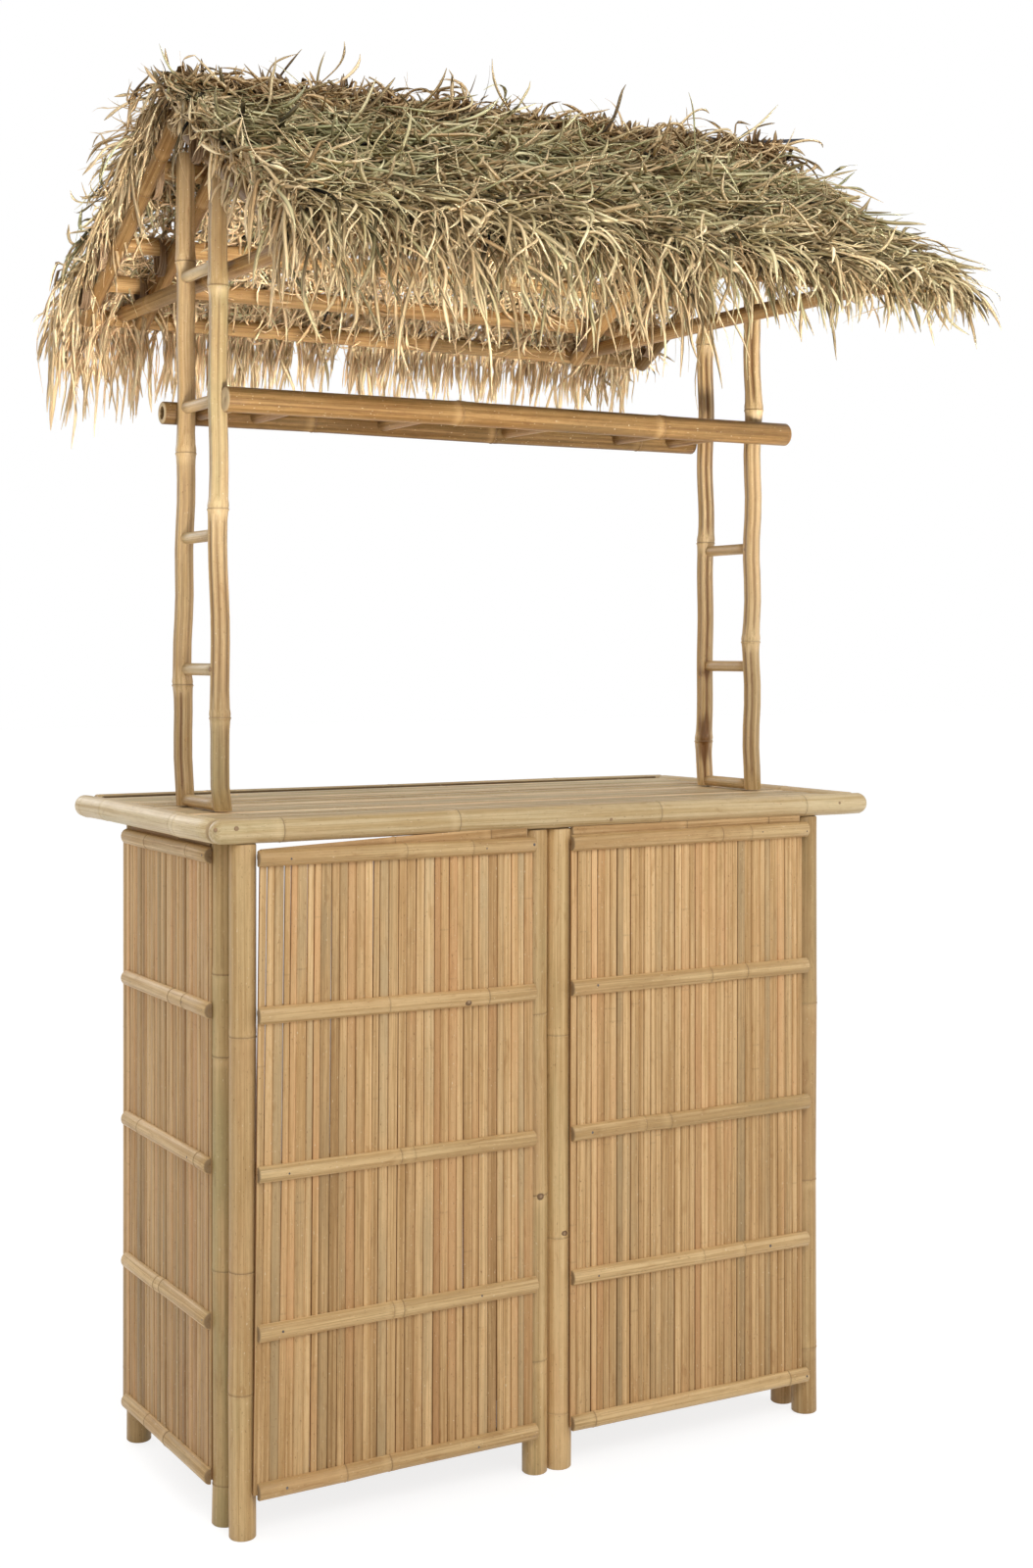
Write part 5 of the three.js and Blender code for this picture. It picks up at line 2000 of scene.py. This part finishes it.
@dataclass
class Thatch:
    """The grass on both slopes, the ridge bundle, the eave fringes and the ends seen from below.

    Attributes:
        ridge_height: height of the purlins' line at the ridge.
        pitch: the slopes' angle.
        half_length: half the roof's length along X.
        middle: the roof's middle in X.
        mat_under: height of the mat's underside over the purlins' line, square to the slope.
        mat_top: height of the mat's top over that line.
        eave: distance from the ridge to the eave, level.
    """

    ridge_height: float = 2.128
    pitch: float = math.radians(30)
    half_length: float = 0.6
    middle: float = -0.010
    mat_under: float = 0.017
    mat_top: float = 0.036
    eave: float = 0.492

    PLANS: ClassVar[Sequence[SlopePlan]] = (
        SlopePlan(
            "front", -1.0, 800, (2800, 2650), (0.58, 0.58), 1750, 1800, 1200, (0.18, 0.20, 0.18, 0.10), (330, 120)
        ),
        SlopePlan(
            "rear", 1.0, 840, (1750, 450), (0.2, 0.58), 300, 3400, 980, (0.215, 0.160, 0.145, 0.132), (400, 120)
        ),
    )
    COMBED: ClassVar[Habit] = Habit(0.028, (0.0, 0.28), (-0.15, 0.6), (-0.16, 0.2), (0.0, 0.5), 0.15)
    LOOSE: ClassVar[Habit] = Habit(0.055, (0.05, 0.5), (-0.3, 1.6), (-0.1, 0.3), (-0.2, 0.7), 0.28)

    # Where the ridge rod's two parts meet, how far the left one lies lower, and how far the tip rises
    ROD_KNEE: ClassVar[float] = 0.5
    ROD_DROP: ClassVar[float] = 0.026
    ROD_RISE: ClassVar[float] = 0.021

    def _slope_point(self, x: Array, reach: Array, rise: Array, side: float) -> Array:
        """Places on a slope: reach is the level distance from the ridge, rise is square to the slope."""
        y = side * (reach + rise * math.sin(self.pitch))
        z = self.ridge_height - reach * math.tan(self.pitch) + rise * math.cos(self.pitch)
        return np.stack([x, y, z], axis=-1)

    def _down(self, side: float) -> Array:
        """The direction down a slope."""
        return np.array([0, side * math.cos(self.pitch), -math.sin(self.pitch)])

    def _end_pull(self, x: Array) -> Array:
        """A turn outwards near the roof's two ends, and none in between."""
        share = (x - self.middle) / self.half_length
        return np.where(share < 0, -0.2, 0.05) * np.clip(np.abs(share) - 0.75, 0, 0.25) / 0.25

    def slope(self, side: float, count: int, seed: int, sage: float) -> Skin:
        """The stalks that lie on a slope, sage in the middle and straw towards the eave.

        Args:
            side: -1 for the front, 1 for the rear.
            count: how many.
            seed: what makes them.
            sage: share of the tufts that are sage green.

        Returns:
            The surface.
        """
        draw = Tufts(seed, count, 8)
        x = np.clip(self.middle + draw.spot(-1, 1, 0.014) * self.half_length, -0.605, 0.538)
        reach = np.clip(draw.spot(0.005, 0.465, 0.012), 0.0, 0.47)
        x = np.minimum(x, 0.536 - 0.19 * reach / self.eave * (1 - reach / self.eave))
        length = draw.even(0.08, 0.185)
        hue = np.where(draw.spot(0, 1, 0.16) < sage, draw.bell(0.9, 0.1), draw.bell(0.62, 0.1))
        hue = hue + (0.62 - hue) * np.clip((reach - 0.30) / 0.16, 0, 1) * 0.7
        hue = hue + (0.38 - hue) * np.clip((0.09 - reach) / 0.07, 0, 1) * (draw.even(0, 1) < 0.65)
        rise = draw.even(-0.014, 0.010)
        calm = 1 - 0.75 * np.clip((x - 0.36) / 0.18, 0, 1)
        return Stalks(
            root=self._slope_point(x, reach, self.mat_top + rise - 0.006 * (1 - calm), side),
            lie=self._down(side),
            side=X_AXIS,
            turn=draw.bell(0.25, 0.75) * (0.3 + 0.7 * calm) + self._end_pull(x),
            bend=draw.bell(0, 1.4, 0.45) * (0.4 + 0.6 * calm),
            **draw.swing(0.2, 0.4, 1.2),
            lift=draw.bell(0.12, 0.18, 0.4) * calm * (1 - 0.5 * np.clip((-0.42 - x) / 0.15, 0, 1)),
            arch=draw.bell(-0.16, 0.4, 0.3) * calm,
            length=length,
            width=draw.even(0.0038, 0.0068),
            # Painted shade: stalks that lie lower in the thatch get a lower tint
            tint=np.clip(draw.bell(0.74, 0.40, 0.3) + rise * 20, -0.05, 1.35),
            hue=hue,
            droop=draw.even(1.5, 4.0),
            carried=np.clip((self.eave + 0.02 - reach) / (length * 0.87), 0, 1.2),
            rings=12,
            root_shade=0.55,
        ).skin(draw.rng)

    def fringe(self, side: float, count: int, seed: int, drops: Sequence[float]) -> Skin:
        """The stalks that hang from an eave, pale straw and wavy.

        Args:
            side: -1 for the front, 1 for the rear.
            count: how many.
            seed: what makes them.
            drops: their usual length at the roof's left end, a sixth in, in the middle and at the right end.

        Returns:
            The surface.
        """
        draw = Tufts(seed, count, 6)
        front = side < 0
        x = np.clip(self.middle + draw.spot(-1, 1, 0.014) * self.half_length, -0.62, 0.562)
        if not front:
            x = np.where(draw.spot(0, 1, 0.05) < 0.14, draw.spot(-0.615, -0.46, 0.01), x)
        reach = self.eave - 0.13 * np.abs(draw.bell(0.2, 0.45, 0.3)).clip(0, 1)
        usual = np.interp(x, [-0.6, -0.42, 0.0, 0.3], drops)
        share = draw.even(0, 1)
        uneven = 0.3 + 0.95 * share**1.5 if front else 0.6 + 0.5 * share
        length = usual * uneven * draw.spot(0.8, 1.15, 0.05)
        if front:
            hue = draw.bell(0.59, 0.07) + 0.22 * (draw.spot(0, 1, 0.1) < 0.24)
            curl, pale, fall, root_shade = 1.0, 0.54, (1.2, 4.5), 0.45
        else:
            hue = draw.bell(0.54, 0.06)
            # Painted light: the rear fringe's high tint and nearly unshaded roots lift the roof's shade on it
            curl, pale, fall, root_shade = np.interp(x, [-0.5, -0.35], [1.0, 0.5]), 1.1, (2.5, 6.5), 0.05
        return Stalks(
            root=self._slope_point(x, reach, draw.even(self.mat_under - 0.008, self.mat_top + 0.002), side),
            lie=self._down(side),
            side=X_AXIS,
            turn=draw.bell(0.1, 0.6) * curl + self._end_pull(x),
            bend=draw.bell(0, 1.3, 0.4) * curl,
            wave=draw.skewed(0.32) * curl,
            beat=draw.even(0.5, 1.8),
            phase=draw.even(0, 1),
            lift=draw.bell(0.0, 0.18) * curl,
            arch=draw.bell(0, 0.5, 0.4) * curl,
            length=length,
            width=draw.even(0.0036, 0.0062) + 0.0009 * (side > 0),
            tint=np.clip(draw.bell(pale, 0.26, 0.3), 0, 1.2),
            hue=hue,
            droop=draw.spot(*fall, 0.4),
            carried=np.clip((self.eave - 0.03 - reach) / length, -0.1, 0.5),
            rings=12,
            root_shade=root_shade,
        ).skin(draw.rng)

    def verge(self, side: float, end: float, count: int, seed: int) -> Skin:
        """The stalks that hang from a slope's edge at one end of the roof.

        Args:
            side: -1 for the front, 1 for the rear.
            end: -1 for the left end, 1 for the right end.
            count: how many.
            seed: what makes them.

        Returns:
            The surface.
        """
        draw = Tufts(seed, count, 5)
        habit = self.COMBED if end < 0 < side else self.LOOSE
        inset = draw.even(-0.004, habit.inset)
        reach = np.clip(draw.spot(0.0, 0.48, 0.008), 0, 0.49)
        share = reach / self.eave
        inset = inset + (0.052 + 0.18 * share * (1 - share)) * (end > 0)
        x = self.middle + end * (self.half_length - inset)
        usual = 0.045 + 0.075 * share + 0.03 * (end > 0) * (share > 0.85) if side < 0 else 0.096
        return Stalks(
            root=self._slope_point(x, reach, draw.even(self.mat_under - 0.012, self.mat_top), side),
            lie=self._down(side),
            side=X_AXIS * end,
            turn=draw.bell(*habit.turn),
            bend=draw.bell(*habit.bend, 0.4),
            **draw.swing(habit.wave, 0.4, 1.2),
            lift=draw.bell(*habit.lift),
            arch=draw.bell(*habit.arch, 0.4),
            length=draw.even(0.5, 1.5) * usual,
            width=draw.even(0.0036, 0.0062),
            tint=np.clip(draw.bell(0.78, 0.22, 0.3), 0, 1.1),
            hue=draw.bell(0.57, 0.08),
            droop=draw.spot(0.2, 1.2, 0.2) * (0.3 + 1.3 * share),
            carried=draw.even(0.0, 0.25),
            rings=12,
            root_shade=0.35,
        ).skin(draw.rng)

    def underside(self, side: float, count: int, seed: int) -> Skin:
        """The short curly ends that hang through the mat between the purlins.

        Args:
            side: -1 for the front, 1 for the rear.
            count: how many.
            seed: what makes them.

        Returns:
            The surface.
        """
        draw = Tufts(seed, count, 5)
        x = self.middle + draw.even(-1, 1) * (self.half_length - 0.01)
        reach = 0.485 * draw.even(0.001, 1) ** 0.65
        return Stalks(
            root=self._slope_point(x, reach, self.mat_under + draw.even(-0.004, 0.010), side),
            lie=self._down(side),
            side=X_AXIS,
            turn=draw.bell(0, 1.1),
            bend=draw.bell(0, 1.7),
            **draw.swing(0.26, 0.5, 1.5),
            lift=-draw.even(0.0, 0.7),
            arch=draw.even(-0.3, 1.1),
            length=draw.even(0.04, 0.10),
            width=draw.even(0.0034, 0.0064),
            # Painted light: the high tint lifts the roof's shade on the ends seen from below
            tint=np.clip(draw.bell(1.15, 0.22, 0.3), 0, 1.35),
            hue=draw.bell(0.50, 0.06),
            rings=7,
            root_shade=0.4,
        ).skin(draw.rng)

    def mat(self, side: float, count: int, seed: int) -> Skin:
        """The stalks inside the mat, which carry the rest and leave small holes.

        Args:
            side: -1 for the front, 1 for the rear.
            count: how many.
            seed: what makes them.

        Returns:
            The surface.
        """
        draw = Tufts(seed, count, 4)
        x = self.middle + draw.even(-1, 1) * (self.half_length - 0.01)
        rise = draw.even(self.mat_under + 0.002, self.mat_top - 0.002)
        return Stalks(
            root=self._slope_point(x, 0.405 * draw.even(0, 1) ** 1.6 - 0.03, rise, side),
            lie=self._down(side),
            side=X_AXIS,
            turn=draw.bell(0, 0.35),
            bend=draw.bell(0, 0.3),
            **draw.swing(0.08, 0.5, 1.5),
            lift=0.0,
            arch=0.0,
            length=draw.even(0.11, 0.16),
            width=draw.even(0.0045, 0.0075),
            tint=np.clip(draw.bell(0.3 if side < 0 else 0.6, 0.15), 0, 1),
            hue=draw.bell(0.42, 0.08),
            rings=5,
        ).skin(draw.rng)

    def _ridge_line(self, x: Array) -> Array:
        """The ridge bundle's height, which rises slowly towards the right."""
        return self.ridge_height + 0.048 + 0.012 * (x - self.middle) / self.half_length

    def ridge(self, count: int, seed: int) -> Skin:
        """The dry brown bundle along the ridge, whose stalks cross it and spill down both sides.

        Args:
            count: how many.
            seed: what makes them.

        Returns:
            The surface.
        """
        draw = Tufts(seed, count, 7)
        x = self.middle + draw.spot(-1, 1, 0.01) * (self.half_length - 0.012)
        side = np.where(draw.spot(0, 1, 0.2) < 0.5, -1.0, 1.0)
        y = -side * draw.even(-0.045, 0.05)
        brown = draw.spot(0, 1, 0.1) < 0.35
        long = draw.even(0.06, 0.145)
        return Stalks(
            root=np.stack([x, y, self._ridge_line(x) - 0.45 * np.abs(y) + draw.even(-0.03, 0.002)], axis=-1),
            lie=side[:, None] * Y_AXIS,
            side=X_AXIS,
            turn=draw.bell(0.0, 0.9) + self._end_pull(x),
            bend=draw.bell(0, 1.5, 0.4),
            **draw.swing(0.22, 0.4, 1.2),
            lift=draw.bell(0.16, 0.34),
            arch=draw.bell(-0.75, 0.4),
            length=np.where(brown, long * 0.42, long),
            width=np.where(brown, draw.even(0.005, 0.010), draw.even(0.0038, 0.0066)),
            tint=np.clip(draw.bell(0.78, 0.34, 0.4), 0, 1.25),
            hue=np.where(brown, draw.bell(0.22, 0.09), draw.bell(0.55, 0.1)),
            droop=draw.even(0, 1.2),
            carried=0.3,
            rings=12,
            root_shade=0.45,
        ).skin(draw.rng)

    def crest(self, count: int, seed: int) -> Skin:
        """The short dark tufts that stand along the ridge's top.

        Args:
            count: how many stalks.
            seed: what makes them.

        Returns:
            The surface.
        """
        draw = Tufts(seed, count, 7)
        x = self.middle + draw.spot(-1, 1, 0.012) * (self.half_length - 0.012)
        y = draw.even(-0.034, 0.026)
        return Stalks(
            root=np.stack([x, y, self._ridge_line(x) - 0.4 * np.abs(y) + draw.even(-0.026, -0.006)], axis=-1),
            lie=np.where(draw.spot(0, 1, 0.1) < 0.65, -1.0, 1.0)[:, None] * Y_AXIS,
            side=X_AXIS,
            turn=draw.bell(0.0, 0.8),
            bend=draw.bell(0, 0.7),
            **draw.swing(0.08, 0.4, 1.2),
            lift=draw.bell(0.75, 0.35),
            arch=draw.bell(-0.7, 0.4),
            length=draw.spot(0.028, 0.052, 0.006).clip(0.02, 0.065),
            width=draw.even(0.005, 0.0105),
            tint=np.clip(draw.bell(0.6, 0.25, 0.6), 0, 1.1),
            hue=draw.bell(0.21, 0.09),
            rings=6,
            root_shade=0.3,
        ).skin(draw.rng)

    def strays(self, count: int, seed: int) -> Skin:
        """The stalks that stand off the ridge in loops.

        Args:
            count: how many.
            seed: what makes them.

        Returns:
            The surface.
        """
        draw = Tufts(seed, count, 2)
        x = self.middle + draw.spot(-1, 1, 0.01) * (self.half_length - 0.01)
        y = draw.bell(0, 0.03)
        return Stalks(
            root=np.stack([x, y, self._ridge_line(x) - 0.012 - 0.5 * np.abs(y)], axis=-1),
            lie=X_AXIS * np.where(draw.even(0, 1) < 0.5, -1.0, 1.0)[:, None],
            side=Y_AXIS,
            turn=draw.bell(0, 0.9),
            bend=draw.bell(0, 0.8),
            **draw.swing(0.2, 0.5, 1.5),
            lift=draw.even(0.0, 0.7),
            arch=-draw.even(0.2, 2.2),
            length=draw.even(0.04, 0.105),
            width=draw.even(0.0024, 0.0048),
            tint=np.clip(draw.bell(0.72, 0.2), 0.5, 1.1),
            hue=draw.bell(0.58, 0.1),
        ).skin(draw.rng)

    def left_strays(self, count: int, seed: int) -> Skin:
        """The stalks that stand out to the left from the ridge's left end.

        Args:
            count: how many.
            seed: what makes them.

        Returns:
            The surface.
        """
        draw = Tufts(seed, count, 4)
        y = draw.even(0.0, 0.13)
        return Stalks(
            root=np.stack([draw.even(-0.615, -0.58), y, self._ridge_line(-0.6) - 0.02 - 0.55 * y], axis=-1),
            lie=unit(np.array([-0.3, 0.95, 0.02])),
            side=X_AXIS,
            turn=draw.bell(0, 0.22),
            bend=draw.bell(0, 0.4),
            **draw.swing(0.12, 0.5, 1.5),
            lift=draw.bell(0.1, 0.14),
            arch=draw.bell(-0.1, 0.3),
            length=draw.even(0.10, 0.24),
            width=draw.even(0.003, 0.0054),
            tint=np.clip(draw.bell(0.8, 0.2), 0, 1.1),
            hue=draw.bell(0.56, 0.06),
            droop=draw.even(0, 0.2),
            carried=0.3,
            rings=10,
        ).skin(draw.rng)

    def _dress_slope(self, plan: SlopePlan) -> None:
        """Makes and dresses the grass of one slope.

        Args:
            plan: what sets it apart.
        """
        name, side, seed = plan.name, plan.side, plan.seed
        piece(name + "_slope_grass", [self.slope(side, plan.lying[0], seed, plan.sage[0])], THATCH, [name + "_thatch"])
        piece(name + "_slope_top_grass", [self.slope(side, plan.lying[1], seed + 5, plan.sage[1])], THATCH)
        piece(name + "_eave_fringe", [self.fringe(side, plan.fringe, seed + 1, plan.drops)], THATCH)
        piece(name + "_mat_grass", [self.mat(side, plan.mat, seed + 2)], THATCH)
        piece(name + "_underside_ends", [self.underside(side, plan.underside, seed + 3)], THATCH)
        for label, end, count in zip(("left", "right"), (-1, 1), plan.verges):
            piece(f"{name}_{label}_verge", [self.verge(side, end, count, seed + 10 + end)], THATCH)

    def build(self) -> None:
        """Makes and dresses the thatch."""
        for plan in self.PLANS:
            self._dress_slope(plan)
        bundle = [self.ridge(2250, 880), self.crest(1100, 883), self.strays(34, 881), self.left_strays(34, 882)]
        piece("ridge_bundle", bundle, RIDGE, ["ridge_thatch"])
        rod = culm_in("ridge_rod", 0, 0.0034, joints=(), seed=890, bend=0.0, columns=16, step=0.1)
        knee = np.array([self.ROD_KNEE, *rod.start[1:]])
        hidden = replace(rod, start=rod.start - Z_AXIS * self.ROD_DROP, end=knee)
        seen = replace(rod, start=knee - X_AXIS * 0.002, end=rod.end + Z_AXIS * self.ROD_RISE)
        piece("ridge_dark_rod", [hidden.skin(), seen.skin()], ROD, ["ridge_rod"])


# ---------------------------------------------------------------- studio


@dataclass
class Studio:
    """The pale floor, the soft lights and the camera at the photograph's angle.

    Attributes:
        eye: the camera's place.
        yaw: its turn from +Y towards +X, in degrees.
        lens: focal length in millimetres.
        shift: share of the picture's height that the view is moved up.
        sensor: the sensor's height in millimetres.
        floor: half the floor's width.
    """

    eye: tuple[float, float, float] = (-1.748, -3.076, 1.278)
    yaw: float = 29.95
    lens: float = 48.27
    shift: float = -0.0851
    sensor: float = 36.0
    floor: float = 30.0

    def build(self) -> None:
        """Makes the camera, the floor, the lamps and the world."""
        self._camera()
        self._floor()
        self._lamp("key", (-1.0, -4.4, 4.4), (0.0, 0.0, 1.1), 2.0, 87.0)
        self._lamp("fill", (3.8, -2.4, 2.6), (0.0, 0.0, 1.2), 2.2, 22.0)
        self._lamp("back", (-1.6, 3.8, 3.0), (0.0, 0.0, 1.6), 2.4, 45.0)
        self._lamp("bounce", (-0.5, -3.2, 0.3), (-0.05, 0.2, 1.86), 1.8, 5.0, 16.0, 0.4)
        self._world()
        bpy.context.scene.view_settings.view_transform = "Standard"

    def _camera(self) -> None:
        """A level camera with the horizon above the picture's middle."""
        data = bpy.data.cameras.new("camera")
        data.sensor_fit = "VERTICAL"
        data.sensor_height = self.sensor
        data.lens = self.lens
        data.shift_y = self.shift
        data.clip_end = 50
        camera = bpy.data.objects.new("camera", data)
        camera.location = self.eye
        camera.rotation_euler = (math.pi / 2, 0, -math.radians(self.yaw))
        bpy.context.scene.collection.objects.link(camera)
        bpy.context.scene.camera = camera

    def _floor(self) -> None:
        """A wide pale floor that the camera sees nearly white, with the hut's soft shadow on it."""
        mesh = bpy.data.meshes.new("floor")
        corners = [(x * self.floor, y * self.floor, 0) for x, y in ((-1, -1), (1, -1), (1, 1), (-1, 1))]
        mesh.from_pydata(corners, [], [(0, 1, 2, 3)])
        g = Graph(bpy.data.materials.new("floor"))
        spot = g.noise(g.node("ShaderNodeTexCoord", {}, {}, "Object"), (3.0, 3.0, 3.0), 2.0)
        tone = g.mix(spot, (0.85, 0.85, 0.85), (0.87, 0.87, 0.87))
        diffuse = g.node("ShaderNodeBsdfDiffuse", {}, {"Color": tone})
        glow = g.node("ShaderNodeEmission", {}, {"Color": (1, 1, 1, 1), "Strength": 1.30})
        camera, glossy, through = (
            g.node("ShaderNodeLightPath", {}, {}, f"Is {ray} Ray") for ray in ("Camera", "Glossy", "Transmission")
        )
        share = (camera + glossy + through) * 0.62
        shader = g.node("ShaderNodeMixShader", {}, {0: share, 1: diffuse, 2: glow})
        g.node("ShaderNodeOutputMaterial", {}, {0: shader})
        mesh.materials.append(g.owner)
        floor = bpy.data.objects.new("floor", mesh)
        bpy.context.scene.collection.objects.link(floor)

    @staticmethod
    def _lamp(
        name: str, place: Colour, aim: Colour, size: float, power: float, spread: float = 180.0, tall: float = 0.0
    ) -> None:
        """A soft light.

        Args:
            name: its name.
            place: where it stands.
            aim: what it looks at.
            size: its width.
            power: its power in watts.
            spread: the angle that its light fans out over, in degrees.
            tall: its height, where it isn't square.
        """
        data = bpy.data.lights.new(name, "AREA")
        data.shape = "RECTANGLE"
        data.size = size
        data.size_y = tall or size
        data.energy = power
        data.spread = math.radians(spread)
        lamp = bpy.data.objects.new(name, data)
        lamp.location = place
        back = unit(np.array(place) - np.array(aim))
        lamp.rotation_euler = (math.acos(back[2]), 0, math.atan2(back[1], back[0]) + math.pi / 2)
        bpy.context.scene.collection.objects.link(lamp)

    @staticmethod
    def _world() -> None:
        """An even pale sky that lights softly and looks white to the camera."""
        g = Graph(bpy.data.worlds.new("studio"))
        lit = g.node("ShaderNodeBackground", {}, {"Color": (1, 1, 1, 1), "Strength": 0.64})
        seen = g.node("ShaderNodeBackground", {}, {"Color": (1, 1, 1, 1), "Strength": 1.0})
        camera = g.node("ShaderNodeLightPath", {}, {}, "Is Camera Ray")
        g.node("ShaderNodeOutputWorld", {}, {0: g.node("ShaderNodeMixShader", {}, {0: camera, 1: lit, 2: seen})})
        bpy.context.scene.world = g.owner


def main() -> None:
    """Builds the studio and the hut's sub-assemblies."""
    logging.basicConfig(level=logging.INFO, format="%(name)s %(message)s")
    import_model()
    Studio().build()
    for assembly in (Base(), Counter(), Storage(), Ladders(), RoofFrame(), Thatch()):
        assembly.build()
        LOG.info("%s done", type(assembly).__name__)


if __name__ == "__main__":
    main()
